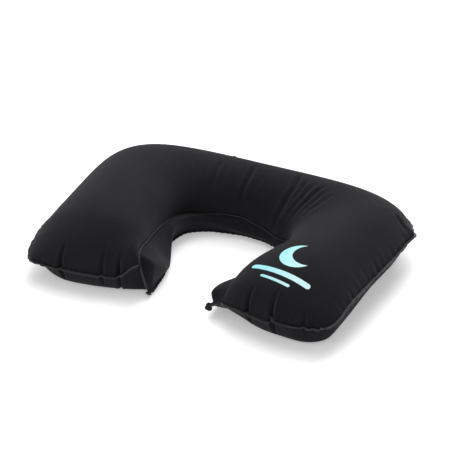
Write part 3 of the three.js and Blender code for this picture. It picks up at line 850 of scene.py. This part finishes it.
def flock_finish(name):
    """Upright flock: nearly black, with a grain, broad swirls, a little lint and a faint sheen."""
    material, tree, shader = new_finish(name)
    nap = group_node(tree, NAP, (-700, 200))
    marks = group_node(tree, LINT, (-700, -200))
    grain = ramp(tree, (-400, 300), nap.outputs["Grain"], 0.0, 0.55, 0.35, 0.7)
    swirl = ramp(tree, (-400, 100), nap.outputs["Swirl"], 0.0, 0.45, 0.35, 0.7)
    colour = mix_colour(tree, (-150, 300), grain, FLOCK_DARK, FLOCK_LIGHT)
    colour = mix_colour(tree, (0, 300), swirl, colour, FLOCK_MIDDLE)
    colour = mix_colour(tree, (150, 300), marks.outputs["Lint"], colour, LINT_GREY)
    tree.links.new(colour, shader.inputs["Base Color"])
    rough = ramp(tree, (-400, -100), marks.outputs["Rub"], 0.82, 1.0, 0.35, 0.65)
    tree.links.new(rough, shader.inputs["Roughness"])
    shader.inputs["Sheen Weight"].default_value = 0.07
    shader.inputs["Sheen Roughness"].default_value = 0.5
    shader.inputs["Sheen Tint"].default_value = SHEEN_GREY
    shader.inputs["Specular IOR Level"].default_value = 0.06
    bumped(tree, shader, nap.outputs["Height"], 0.45, 0.0008)
    return material


flock = flock_finish("black_flock")
print("finish", flock.name)

# %% [markdown]
# ## A printed motif
# The right arm carries a small pale print. Here it is a plain crescent moon over two stripes. A
# print has no thickness worth modelling, so it is drawn by maths in the pillow's plan and mixed
# into the flock's colour.

# %% A plain printed motif
MOTIF_CENTRE, MOTIF_TURN = (127.0, 57.0), -12.0
MOON_RADIUS, MOON_BITE, MOON_SHIFT = 22.0, 19.5, (10.0, 7.0)
# centre below the moon, half length and half height of each stripe
STRIPES = ((34.0, 40.0, 3.6), (45.5, 20.0, 1.9))
LOWEST_PRINT = 40.0  # the motif shows only above this height, so not on the bottom film
PRINT_PALE, PRINT_DEEP = (0.62, 0.88, 0.90, 1), (0.33, 0.74, 0.80, 1)


def motif_group():
    """A crescent moon over two stripes, as a mask in the pillow's plan."""
    tree, start, end = new_group(
        "moon_and_stripes",
        [("Edge softness", "NodeSocketFloat", 0.0004)],
        [("Mask", "NodeSocketFloat"), ("Fade", "NodeSocketFloat")],
    )
    at = node(tree, "ShaderNodeTexCoord", (-900, 300)).outputs["Object"]
    turn = node(tree, "ShaderNodeMapping", (-700, 300), Vector=at)
    turn.vector_type = "TEXTURE"
    turn.inputs["Location"].default_value = (MOTIF_CENTRE[0] * MM, (MOTIF_CENTRE[1] + EARS_Y) * MM, 0)
    turn.inputs["Rotation"].default_value = (0, 0, math.radians(MOTIF_TURN))
    plan = vector_math(tree, "MULTIPLY", turn.outputs["Vector"], (1, 1, 0))

    def mask(distance, edge):
        """1 where the distance is less than the edge, with a soft step."""
        inside = scalar_math(tree, "SUBTRACT", edge, distance)
        return scalar_math(tree, "DIVIDE", inside, start.outputs["Edge softness"], clamp=True)

    disc = mask(vector_math(tree, "LENGTH", plan), MOON_RADIUS * MM)
    moved = vector_math(tree, "SUBTRACT", plan, tuple(v * MM for v in MOON_SHIFT) + (0,))
    bite = mask(vector_math(tree, "LENGTH", moved), MOON_BITE * MM)
    total = scalar_math(tree, "SUBTRACT", disc, bite, clamp=True)
    for below, half_length, half_height in STRIPES:
        local = vector_math(tree, "ADD", plan, (0, below * MM, 0))
        core = ((half_length - half_height) * MM, 0, 0)
        beyond = vector_math(tree, "SUBTRACT", vector_math(tree, "ABSOLUTE", local), core)
        beyond = vector_math(tree, "MAXIMUM", beyond, (0, 0, 0))
        stripe = mask(vector_math(tree, "LENGTH", beyond), half_height * MM)
        total = scalar_math(tree, "MAXIMUM", total, stripe)
    height = node(tree, "ShaderNodeSeparateXYZ", (-300, -300), Vector=at).outputs["Z"]
    upper = scalar_math(tree, "GREATER_THAN", height, LOWEST_PRINT * MM)
    tree.links.new(scalar_math(tree, "MULTIPLY", total, upper), end.inputs["Mask"])
    sideways = node(tree, "ShaderNodeSeparateXYZ", (-300, -500), Vector=plan).outputs["X"]
    fade = ramp(tree, (0, -500), sideways, 0.0, 1.0, -MOON_RADIUS * MM, MOON_RADIUS * MM)
    tree.links.new(fade, end.inputs["Fade"])
    return tree


def printed_finish():
    """Flock with the motif printed on it: ink lies on the fibre tips and leaves pinholes between."""
    material = flock_finish("printed_flock")
    tree = material.node_tree
    shader = tree.nodes["Principled BSDF"]
    old = shader.inputs["Base Color"].links[0].from_socket
    motif = group_node(tree, motif_group(), (-400, 700))
    nap = next(n for n in tree.nodes if n.type == "GROUP" and n.node_tree == NAP)
    cover = ramp(tree, (-400, 500), nap.outputs["Grain"], 0.80, 1.0, 0.28, 0.5)
    amount = scalar_math(tree, "MULTIPLY", motif.outputs["Mask"], cover)
    ink = mix_colour(tree, (200, 500), motif.outputs["Fade"], PRINT_DEEP, PRINT_PALE)
    colour = mix_colour(tree, (350, 400), amount, old, ink)
    tree.links.new(colour, shader.inputs["Base Color"])
    return material


flock_printed = printed_finish()
print("motif of", len(STRIPES), "stripes and a moon", 2 * MOON_RADIUS, "mm across")


# %% Pressed flock
PRESSED_DARK, PRESSED_LIGHT = (0.013, 0.013, 0.015, 1), (0.028, 0.028, 0.031, 1)


def pressed_finish(name):
    """Flock flattened by the welding bar: a coarser grain and a satin face."""
    material, tree, shader = new_finish(name)
    nap = group_node(tree, NAP, (-700, 200), Fibres_per_metre=1200.0)
    grain = ramp(tree, (-400, 300), nap.outputs["Grain"], 0.0, 1.0, 0.35, 0.7)
    colour = mix_colour(tree, (-100, 300), grain, PRESSED_DARK, PRESSED_LIGHT)
    tree.links.new(colour, shader.inputs["Base Color"])
    rough = ramp(tree, (-400, 0), nap.outputs["Swirl"], 0.42, 0.66, 0.35, 0.7)
    tree.links.new(rough, shader.inputs["Roughness"])
    shader.inputs["Sheen Weight"].default_value = 0.12
    shader.inputs["Sheen Roughness"].default_value = 0.4
    shader.inputs["Specular IOR Level"].default_value = 0.22
    bumped(tree, shader, nap.outputs["Height"], 0.3, 0.0004)
    return material


pressed = pressed_finish("pressed_flock")
print("finishes", flock_printed.name, pressed.name)

# %% [markdown]
# ## From grids to film
# Each grid becomes a sheet with real thickness. A skin that is only painted on one side would show
# its back through the valve's hole and at the ears, so the film is given half a millimetre on its
# inner side.

# %% Build the films
FILM = 0.5


def mesh_object(name, points, faces, material, body="pillow", replaces=()):
    mesh = bpy.data.meshes.new(name)
    mesh.from_pydata((np.asarray(points) * MM).tolist(), [], faces)
    mesh.validate()
    mesh.polygons.foreach_set("use_smooth", [True] * len(mesh.polygons))
    mesh.materials.append(material)
    mesh.update()
    piece = bpy.data.objects.new(name, mesh)
    bpy.context.scene.collection.objects.link(piece)
    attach(piece, body)
    if replaces:
        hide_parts(*replaces)
    return piece


def placed(points):
    """From the plan's own origin at the ears to the frame's."""
    return points + np.array([0.0, EARS_Y, 0.0])


def sheet_faces(rows, columns):
    """Faces of a closed sheet: the outer grid, its copy inside, and a rim round the edge."""
    i, j = np.meshgrid(np.arange(rows - 1), np.arange(columns - 1), indexing="ij")
    a = (i * columns + j).ravel()
    front = np.stack([a, a + columns, a + columns + 1, a + 1], 1)
    count = rows * columns
    ring = np.concatenate([
        np.arange(columns), np.arange(1, rows) * columns + columns - 1,
        count - 2 - np.arange(columns - 1), (rows - 2 - np.arange(rows - 2)) * columns,
    ])
    following = np.roll(ring, -1)
    rim = np.stack([ring, following, following + count, ring + count], 1)
    return np.concatenate([front, front[:, ::-1] + count, rim])


def film_piece(name, grid, node_name, outward):
    """A closed sheet: the grid as its outer face, a copy inside it, and a rim round the edge."""
    normals = unit(np.cross(np.gradient(grid, axis=0), np.gradient(grid, axis=1)))
    inner = grid - outward * normals * FILM
    faces = sheet_faces(*grid.shape[:2])
    if outward < 0:
        faces = faces[:, ::-1]
    finish = flock_printed if name == "top_film" else flock
    points = placed(np.concatenate([grid.reshape(-1, 3), inner.reshape(-1, 3)]))
    return mesh_object(name, points, faces.tolist(), finish, replaces=[node_name])


def outward_sign(grid, towards):
    """1 or -1, so that the grid's normals times this point towards the given side."""
    n = np.cross(np.gradient(grid, axis=0), np.gradient(grid, axis=1))
    middle = n[len(n) // 2, n.shape[1] // 2]
    return 1 if middle @ np.array(towards, float) > 0 else -1


# film, the CAD part it replaces, and the side it faces
FILMS = (
    ("top", "top_sheet", (0, 0, 1)),
    ("bottom", "bottom_sheet", (0, 0, -1)),
    ("gusset", "neck_gusset", (0, -1, 0)),
)
pieces = {}
for name, node_name, towards in FILMS:
    sign = outward_sign(films[name], towards)
    pieces[name] = film_piece(f"{name}_film", films[name], node_name, sign)
    print(pieces[name].name, len(pieces[name].data.polygons), "faces")

# %% [markdown]
# ## Welded flanges
# Outside every seam the two films are fused into a flat strip a few millimetres wide. Its section
# has a pressed groove next to the chamber and a thicker rolled edge where the die cut it. It is
# swept along the finished seam, so it follows every pinch, and small waves make it ruffle as spare
# film does.

# %% Flange sweep
rng = np.random.default_rng(7)
# share of the width outwards, height above the middle in millimetres
FLANGE_SECTION = ((0.0, 0.5), (0.25, 0.30), (0.45, 0.34), (0.70, 0.5), (0.88, 0.62), (1.0, 0.3))
UNEVEN, UNEVEN_PITCH = 0.12, 2.3  # share of the width, and its pitch as a multiple of the ripple's
TAPER_STEPS, TAPER_START = 5, 0.25
LOWEST = 0.1


def waves(length, pitch, count):
    """A smooth random ripple along a strip, with about the given pitch."""
    knots = max(4, int(length / pitch) + 2)
    values = rng.uniform(-1, 1, knots)
    at = np.linspace(0, knots - 1, count)
    i = np.minimum(at.astype(int), knots - 2)
    t = smooth(at - i)
    return values[i] * (1 - t) + values[i + 1] * t


def tube_faces(rings, size):
    """Quads between rings of points, and a cap on each end."""
    faces = []
    for i in range(rings - 1):
        for k in range(size):
            a, b = i * size + k, i * size + (k + 1) % size
            faces.append((a, b, b + size, a + size))
    last = (rings - 1) * size
    return faces + [tuple(range(size))[::-1], tuple(range(last, last + size))]


def flange(name, path, outward, node_name, width, ripple, pitch, scallop=0.0, scallop_pitch=7.0):
    """Sweeps the flange's section along a seam, standing out in the given directions."""
    count = len(path)
    along = unit(np.gradient(path, axis=0))
    outward = unit(outward - (outward * along).sum(1, keepdims=True) * along)
    outward = unit(smoothed(outward, 6))
    face = np.cross(along, outward)
    travelled = np.concatenate([[0], np.cumsum(np.linalg.norm(np.diff(path, axis=0), axis=1))])
    length = travelled[-1]
    wave = waves(length, pitch, count) * ripple
    uneven = 1 + UNEVEN * waves(length, pitch * UNEVEN_PITCH, count)
    uneven -= scallop * (1 - np.abs(np.sin(np.pi * travelled / scallop_pitch)))
    from_end = np.minimum(np.arange(count), np.arange(count)[::-1])
    taper = np.minimum(1, from_end / TAPER_STEPS + TAPER_START)
    ring = [(w, h) for w, h in FLANGE_SECTION] + [(w, -h) for w, h in FLANGE_SECTION[::-1]]
    points = np.empty((count, len(ring), 3))
    for k, (w, h) in enumerate(ring):
        out = (w * width * uneven * taper)[:, None]
        up = (h + wave * w**1.5)[:, None]
        points[:, k] = path + outward * out + face * up
    points[..., 2] = np.maximum(points[..., 2], LOWEST)
    faces = tube_faces(count, len(ring))
    points = placed(points.reshape(-1, 3))
    piece = mesh_object(name, points, faces, pressed, replaces=[node_name])
    print(name, round(length), "mm long")
    return piece


# %% The seams' own paths
top, bottom, gusset = films["top"], films["bottom"], films["gusset"]
TURN_BACK = len(weld_columns) - 1  # the bottom film's end meets the weld as far as this column
BESIDE = 3  # grid steps into a film, to see which way it leans at its weld
outer_path = np.concatenate([top[0, :0:-1], top[:, 0], top[-1, 1:]])
top_lean = np.concatenate([
    (top[BESIDE] - top[0])[:0:-1],
    top[:, BESIDE] - top[:, 0],
    (top[-1 - BESIDE] - top[-1])[1:],
])
low_lean = np.concatenate([
    (bottom[BESIDE] - bottom[0])[TURN_BACK:0:-1],
    bottom[:, BESIDE] - bottom[:, 0],
    (bottom[-1 - BESIDE] - bottom[-1])[1 : TURN_BACK + 1],
])
outer_out = -(unit(top_lean) + unit(low_lean))
outer_out[:, 2] = np.abs(outer_out[:, 2]) * 0.2
outer_out = unit(smoothed(outer_out, 12))
END_CUT = slice(3, -3)
flange("outer_weld_flange", outer_path[END_CUT], outer_out[END_CUT], "outer_weld",
       width=3.4, ripple=0.5, pitch=12)

away = np.stack(away_from_neck(ROWS), 1)
away = resampled(np.concatenate([away, np.zeros((len(away), 1))], 1), ROWS_AT, 0)
upper_out = unit(-away + np.array([0, 0, 0.55]))
lower_out = unit(-away + np.array([0, 0, 0.05]))
UPPER_CUT, LOWER_CUT, GUSSET_CUT = slice(2, -2), slice(4, -4), slice(2, -2)
flange("upper_neck_flange", top[UPPER_CUT, -1], upper_out[UPPER_CUT], "upper_neck_weld",
       width=1.8, ripple=0.3, pitch=16)
flange("lower_neck_flange", bottom[LOWER_CUT, -1], lower_out[LOWER_CUT], "lower_neck_weld",
       width=3.4, ripple=0.5, pitch=7, scallop=0.35)

# side, its row of the gusset, its name and the flange's width
for side, row, label, width in ((1, 0, "right", 4.0), (-1, -1, "left", 2.2)):
    path = gusset[row, GUSSET_CUT]
    out = np.tile([-0.35 * side, -1.0, 0.0], (len(path), 1))
    flange(f"gusset_end_flange_{label}", path, out, f"gusset_end_weld_{label}",
           width=width, ripple=0.2, pitch=10)
print("five flanges swept")

# %% [markdown]
# ## Ear tabs
# Three welds meet at the foot of each arm, and the die leaves a small kite of fused film there. It
# is a thin closed sheet like the films, so the same faces serve, with one level of subdivision to
# round its corners.

# %% Ear tabs
# length, half width, roll about its own length in degrees, and how far its tip rises
EAR_TABS = {1: (9.0, 5.0, 52.0, -1.0), -1: (8.0, 3.6, 20.0, 1.2)}
TAB_STEPS, TAB_LANES, TAB_HALF_THICK, TAB_LOWEST = 15, 7, 0.5, 0.8
TAB_HEADING = 35  # degrees, inwards from straight ahead


def ear_tab(side, label):
    """The trimmed corner where three welds meet: a small kite of fused film, curled at its tip."""
    length, half, roll, rise = EAR_TABS[side]
    corner = gusset[0 if side > 0 else -1, -1]
    start = corner + np.array([side * 1.6, 2.4, max(0.0, 1.0 - corner[2])])
    heading = math.radians(TAB_HEADING) * -side
    forward = np.array([math.sin(heading), -math.cos(heading), 0.0])
    level = np.array([-forward[1], forward[0], 0.0])
    across = level * math.cos(math.radians(roll)) + np.array([0, 0, -math.sin(math.radians(roll))])
    facing = np.cross(forward, across)
    lanes = np.linspace(-1, 1, TAB_LANES)[:, None]
    rows = []
    for t in np.linspace(0, 1, TAB_STEPS):
        wide = half * min(1, (t + 0.28) / 0.45) * min(1, (1.03 - t) / 0.5) ** 0.8
        middle = start + forward * length * t + np.array([0, 0, rise * t**2])
        rows.append(middle + across * wide * lanes)
    grid = np.array(rows)
    grid[..., 2] = np.maximum(grid[..., 2], TAB_LOWEST)
    offset = facing * TAB_HALF_THICK
    points = placed(np.concatenate([(grid + offset).reshape(-1, 3), (grid - offset).reshape(-1, 3)]))
    faces = sheet_faces(TAB_STEPS, TAB_LANES).tolist()
    tab = mesh_object(f"ear_tab_piece_{label}", points, faces, pressed,
                      replaces=[f"ear_tab_{label}"])
    rounding = tab.modifiers.new("soft_edge", "SUBSURF")
    rounding.levels = rounding.render_levels = 1
    return tab


for side, label in ((1, "right"), (-1, "left")):
    print(ear_tab(side, label).name)

# %% [markdown]
# ## The mouth valve
# The valve sits on the back, out of the wearer's way: a moulded flange, a stem that pulls out to be
# blown, a stopper on a strap and a thin flap inside. Such parts are turned and plate shapes, so
# each is a lathe profile or an outline with its edges rounded. Their sizes repeat the CAD's, so the
# joints move them without touching.

# %% Valve finishes
def moulded_finish(name, colour, roughness):
    """Moulded soft plastic: a fine matte skin, faint flow clouds and rubbed patches."""
    material, tree, shader = new_finish(name)
    nap = group_node(tree, NAP, (-700, 200), Fibres_per_metre=3500.0, Swirl_per_metre=120.0)
    marks = group_node(tree, LINT, (-700, -200), Specks_per_metre=700.0)
    lighter = tuple(v * 1.35 for v in colour[:3]) + (1,)
    speck = tuple(0.5 * v + 0.1 for v in colour[:3]) + (1,)
    clouds = ramp(tree, (-400, 300), nap.outputs["Swirl"], 0.0, 1.0, 0.35, 0.7)
    base = mix_colour(tree, (-100, 300), clouds, colour, lighter)
    base = mix_colour(tree, (50, 300), marks.outputs["Lint"], base, speck)
    tree.links.new(base, shader.inputs["Base Color"])
    rough = ramp(tree, (-400, 0), marks.outputs["Rub"], roughness - 0.08, roughness + 0.1, 0.35, 0.65)
    tree.links.new(rough, shader.inputs["Roughness"])
    bumped(tree, shader, nap.outputs["Height"], 0.25, 0.0001)
    return material


flange_plastic = moulded_finish("valve_flange_plastic", (0.020, 0.020, 0.022, 1), 0.5)
stem_plastic = moulded_finish("valve_stem_plastic", (0.030, 0.030, 0.033, 1), 0.38)
stopper_plastic = moulded_finish("valve_stopper_plastic", (0.045, 0.045, 0.05, 1), 0.42)
flap_plastic = moulded_finish("valve_flap_plastic", (0.08, 0.08, 0.085, 1), 0.55)
print("four valve finishes")

# %% Turned and plate shapes
VALVE_TO_WORLD = np.stack([VALVE_SIDE, VALVE_UP, VALVE_OUT])
SEGMENTS = 96


def rounded(profile, radius):
    """Replaces each corner of a closed outline by a short arc of three points."""
    profile = np.array(profile, float)
    out = []
    for k, corner in enumerate(profile):
        before, after = profile[k - 1] - corner, profile[(k + 1) % len(profile)] - corner
        cut = min(radius, 0.45 * np.linalg.norm(before), 0.45 * np.linalg.norm(after))
        a = corner + before / np.linalg.norm(before) * cut
        b = corner + after / np.linalg.norm(after) * cut
        for t in (0, 0.25, 0.5, 0.75, 1):
            out.append(a * (1 - t) ** 2 + 2 * corner * t * (1 - t) + b * t**2)
    return np.array(out)


def turned_mesh(profile):
    """Points and faces of a ring turned about the valve's axis, from (radius, height) pairs."""
    angle = np.linspace(0, 2 * np.pi, SEGMENTS, endpoint=False)
    n = len(profile)
    r, z = profile[:, 0], profile[:, 1]
    x = np.cos(angle)[:, None] * r
    y = np.sin(angle)[:, None] * r
    points = np.stack([x, y, np.broadcast_to(z, x.shape)], -1).reshape(-1, 3)
    faces = []
    for i in range(SEGMENTS):
        j = (i + 1) % SEGMENTS
        for k in range(n):
            m = (k + 1) % n
            faces.append((i * n + k, j * n + k, j * n + m, i * n + m))
    return points, faces


def plate_mesh(outline, low, high, edge=0.25):
    """A plate between two heights with a chamfered edge, from its outline seen from outside."""
    outline = np.array(outline, float)
    middle = outline.mean(0)
    size = np.abs(outline - middle).max(0)
    inner = middle + (outline - middle) * (1 - edge / size)
    rings = [(inner, low), (outline, low + edge), (outline, high - edge), (inner, high)]
    points = np.concatenate([np.column_stack([ring, np.full(len(ring), z)]) for ring, z in rings])
    return points, tube_faces(len(rings), len(outline))


def joined(*shapes):
    """Several closed shapes as one list of points and one of faces."""
    points, faces, start = [], [], 0
    for p, f in shapes:
        points.append(p)
        faces += [tuple(v + start for v in face) for face in f]
        start += len(p)
    return np.concatenate(points), faces


def valve_piece(name, shape, material, body, node_name):
    points, faces = shape
    points = VALVE_ORIGIN + points @ VALVE_TO_WORLD
    piece = mesh_object(name, points, faces, material, body, [node_name])
    fix_normals(piece)
    return piece


def fix_normals(piece):
    """Turns every closed shell's faces outwards."""
    bm = bmesh.new()
    bm.from_mesh(piece.data)
    bmesh.ops.recalc_face_normals(bm, faces=bm.faces)
    bm.to_mesh(piece.data)
    bm.free()


print("turned shapes have", SEGMENTS, "segments")

# %% Flange and stem
# heights are from the flange's upper face, outwards
FLANGE_RADIUS, FLANGE_THICK, FLANGE_EDGE = 11.5, 0.9, 0.35
RING_OUTER, RING_INNER, RING_DEEP, RING_SLOPE = 9.9, 9.2, 0.25, 0.7
HOLE_RADIUS, COLLAR_RADIUS, COLLAR_TOP, COLLAR_FOOT = 4.9, 6.3, 1.6, 0.6
base_profile = [
    (HOLE_RADIUS, -FLANGE_THICK),
    (FLANGE_RADIUS, -FLANGE_THICK),
    (FLANGE_RADIUS, -FLANGE_EDGE),
    (FLANGE_RADIUS - 0.8, 0.0),
    (RING_OUTER, -RING_DEEP),
    (RING_INNER, -RING_DEEP),
    (RING_INNER - RING_SLOPE, 0.0),
    (COLLAR_RADIUS + COLLAR_FOOT, 0.0),
    (COLLAR_RADIUS, 0.7),
    (COLLAR_RADIUS, COLLAR_TOP),
    (HOLE_RADIUS, COLLAR_TOP),
]
base_shape = turned_mesh(rounded(base_profile, 0.25))
valve_piece("valve_flange", base_shape, flange_plastic, "pillow", "valve_base")

STEM_RADIUS, STEM_BORE, STEM_BOTTOM, STEM_TOP = 4.6, 3.2, -12.0, 3.1
RIM_RADIUS, RIM_BOTTOM = 6.2, 1.9
GROOVE_BOTTOM, GROOVE_TOP, GROOVE_DEEP, GROOVE_SLOPE = -9.6, -8.3, 0.25, 0.3
LUG_HALF, LUG_END, LUG_SUNK = 2.0, 10.4, 0.8
FLAP_LUG_END, FLAP_LUG_TALL = 6.2, 1.5
stem_profile = [
    (STEM_BORE, STEM_BOTTOM),
    (STEM_RADIUS, STEM_BOTTOM),
    (STEM_RADIUS, GROOVE_BOTTOM),
    (STEM_RADIUS - GROOVE_DEEP, GROOVE_BOTTOM + GROOVE_SLOPE),
    (STEM_RADIUS - GROOVE_DEEP, GROOVE_TOP - GROOVE_SLOPE),
    (STEM_RADIUS, GROOVE_TOP),
    (STEM_RADIUS, RIM_BOTTOM),
    (RIM_RADIUS, RIM_BOTTOM),
    (RIM_RADIUS, STEM_TOP),
    (STEM_BORE + 0.5, STEM_TOP),
    (STEM_BORE, STEM_TOP - 1.0),
]


def rectangle(half, start, end):
    """An outline across the valve's middle, from one distance to another, with rounded corners."""
    return rounded([(-half, start), (half, start), (half, end), (-half, end)], 0.6)


hinge_lug = plate_mesh(rectangle(LUG_HALF, RIM_RADIUS - LUG_SUNK, LUG_END), RIM_BOTTOM, STEM_TOP)
flap_lug_outline = rectangle(LUG_HALF, STEM_RADIUS - LUG_SUNK, FLAP_LUG_END)
flap_lug = plate_mesh(flap_lug_outline, STEM_BOTTOM, STEM_BOTTOM + FLAP_LUG_TALL)
stem_shape = joined(turned_mesh(rounded(stem_profile, 0.2)), hinge_lug, flap_lug)
valve_piece("mouth_stem", stem_shape, stem_plastic, "stem", "valve_stem")
print("flange and stem", FLANGE_RADIUS * 2, "and", STEM_RADIUS * 2, "mm across")

# %% Stopper, strap and flap
ON_AXIS = 0.001  # a turned profile stops just short of the axis
HEAD_BOTTOM, HEAD_TOP, HEAD_RADIUS = 3.4, 4.7, 5.6
PLUG_LENGTH, PLUG_TIP, PLUG_ROOT = 4.2, 1.9, 2.9
DISH_OUTER, DISH_INNER, DISH_DEEP = 4.7, 1.8, 0.3
GRIP_HALF, GRIP_START, GRIP_END = 3.0, -4.6, -9.5
RIBS_AT, RIB_HALF, RIB_WIDE = (-8.8, -7.7, -6.6), 2.2, 0.5
stopper_profile = [
    (ON_AXIS, HEAD_BOTTOM - PLUG_LENGTH),
    (PLUG_TIP, HEAD_BOTTOM - PLUG_LENGTH),
    (PLUG_ROOT, HEAD_BOTTOM),
    (HEAD_RADIUS, HEAD_BOTTOM),
    (HEAD_RADIUS, HEAD_TOP - 0.1),
    (DISH_OUTER, HEAD_TOP),
    (DISH_OUTER - 0.4, HEAD_TOP - DISH_DEEP),
    (DISH_INNER + 0.4, HEAD_TOP - DISH_DEEP),
    (DISH_INNER, HEAD_TOP),
    (ON_AXIS, HEAD_TOP),
]
grip = plate_mesh(rectangle(GRIP_HALF, GRIP_END, GRIP_START), HEAD_BOTTOM + 0.3, HEAD_TOP, 0.2)
ribs = []
for y in RIBS_AT:
    ribs.append(plate_mesh(rectangle(RIB_HALF, y, y + RIB_WIDE), HEAD_TOP - 0.2, HEAD_TOP + 0.3, 0.12))
stopper_shape = joined(turned_mesh(rounded(stopper_profile, 0.18)), grip, *ribs)
valve_piece("stopper", stopper_shape, stopper_plastic, "stopper", "valve_plug")

STRAP_START, STRAP_END, STRAP_HEIGHT = HEAD_RADIUS - 0.3, 9.95, 4.05
STRAP_HALF, STRAP_WAIST = 2.0, 0.55
STRAP_THICK, STRAP_THINNING, STRAP_HINGE_AT = 0.45, 0.25, 0.88


def strap_shape():
    """A thin strap that narrows in the middle and thins to its living hinge."""
    steps = np.linspace(0, 1, 13)
    y = STRAP_START + (STRAP_END - STRAP_START) * steps
    half = STRAP_HALF - STRAP_WAIST * np.sin(np.pi * steps)
    thick = STRAP_THICK - STRAP_THINNING * np.exp(-(((steps - STRAP_HINGE_AT) / 0.1) ** 2))
    low, high = STRAP_HEIGHT - thick, STRAP_HEIGHT + thick
    corners = ((-half, y, low), (half, y, low), (half, y, high), (-half, y, high))
    points = np.stack([np.stack(corner, 1) for corner in corners], 1)
    return points.reshape(-1, 3), tube_faces(len(steps), len(corners))


valve_piece("stopper_strap", strap_shape(), stopper_plastic, "stopper", "plug_tether")

FLAP_RADIUS, FLAP_LOW, FLAP_HIGH = 4.2, -12.9, -12.3
FLAP_ROOT_HALF, FLAP_ROOT_END = 2.0, 5.6
turn = np.linspace(math.radians(118), math.radians(422), 60)
flap_outline = [(FLAP_RADIUS * math.cos(a), FLAP_RADIUS * math.sin(a)) for a in turn]
flap_outline += [(FLAP_ROOT_HALF, FLAP_ROOT_END), (-FLAP_ROOT_HALF, FLAP_ROOT_END)]
flap_shape = plate_mesh(flap_outline, FLAP_LOW, FLAP_HIGH, 0.15)
valve_piece("non_return_flap", flap_shape, flap_plastic, "flap", "check_flap")
print("stopper, strap and flap")

# %% [markdown]
# ## The valve's hole
# The top film is cut away under the flange, so that the stem passes through a real opening. The
# cutter is a plain turned drum, a little smaller than the flange, taken from the film with an exact
# boolean.

# %% The valve's hole in the top film
HOLE_IN_FILM, CUT_LOW, CUT_HIGH = 8.5, -6.0, 5.0
drum = [(ON_AXIS, CUT_LOW), (HOLE_IN_FILM, CUT_LOW), (HOLE_IN_FILM, CUT_HIGH), (ON_AXIS, CUT_HIGH)]
points, faces = turned_mesh(np.array(drum))
cutter_mesh = bpy.data.meshes.new("hole_cutter")
cutter_mesh.from_pydata(((VALVE_ORIGIN + points @ VALVE_TO_WORLD) * MM).tolist(), [], faces)
cutter = bpy.data.objects.new("hole_cutter", cutter_mesh)
bpy.context.scene.collection.objects.link(cutter)
fix_normals(cutter)
cut = pieces["top"].modifiers.new("valve_hole", "BOOLEAN")
cut.operation, cut.object, cut.solver = "DIFFERENCE", cutter, "EXACT"
bpy.context.view_layer.update()
whole = pieces["top"].evaluated_get(bpy.context.evaluated_depsgraph_get())
holed = bpy.data.meshes.new_from_object(whole)
pieces["top"].modifiers.clear()
pieces["top"].data = holed
bpy.data.objects.remove(cutter)
print("film with its valve hole:", len(holed.polygons), "faces")
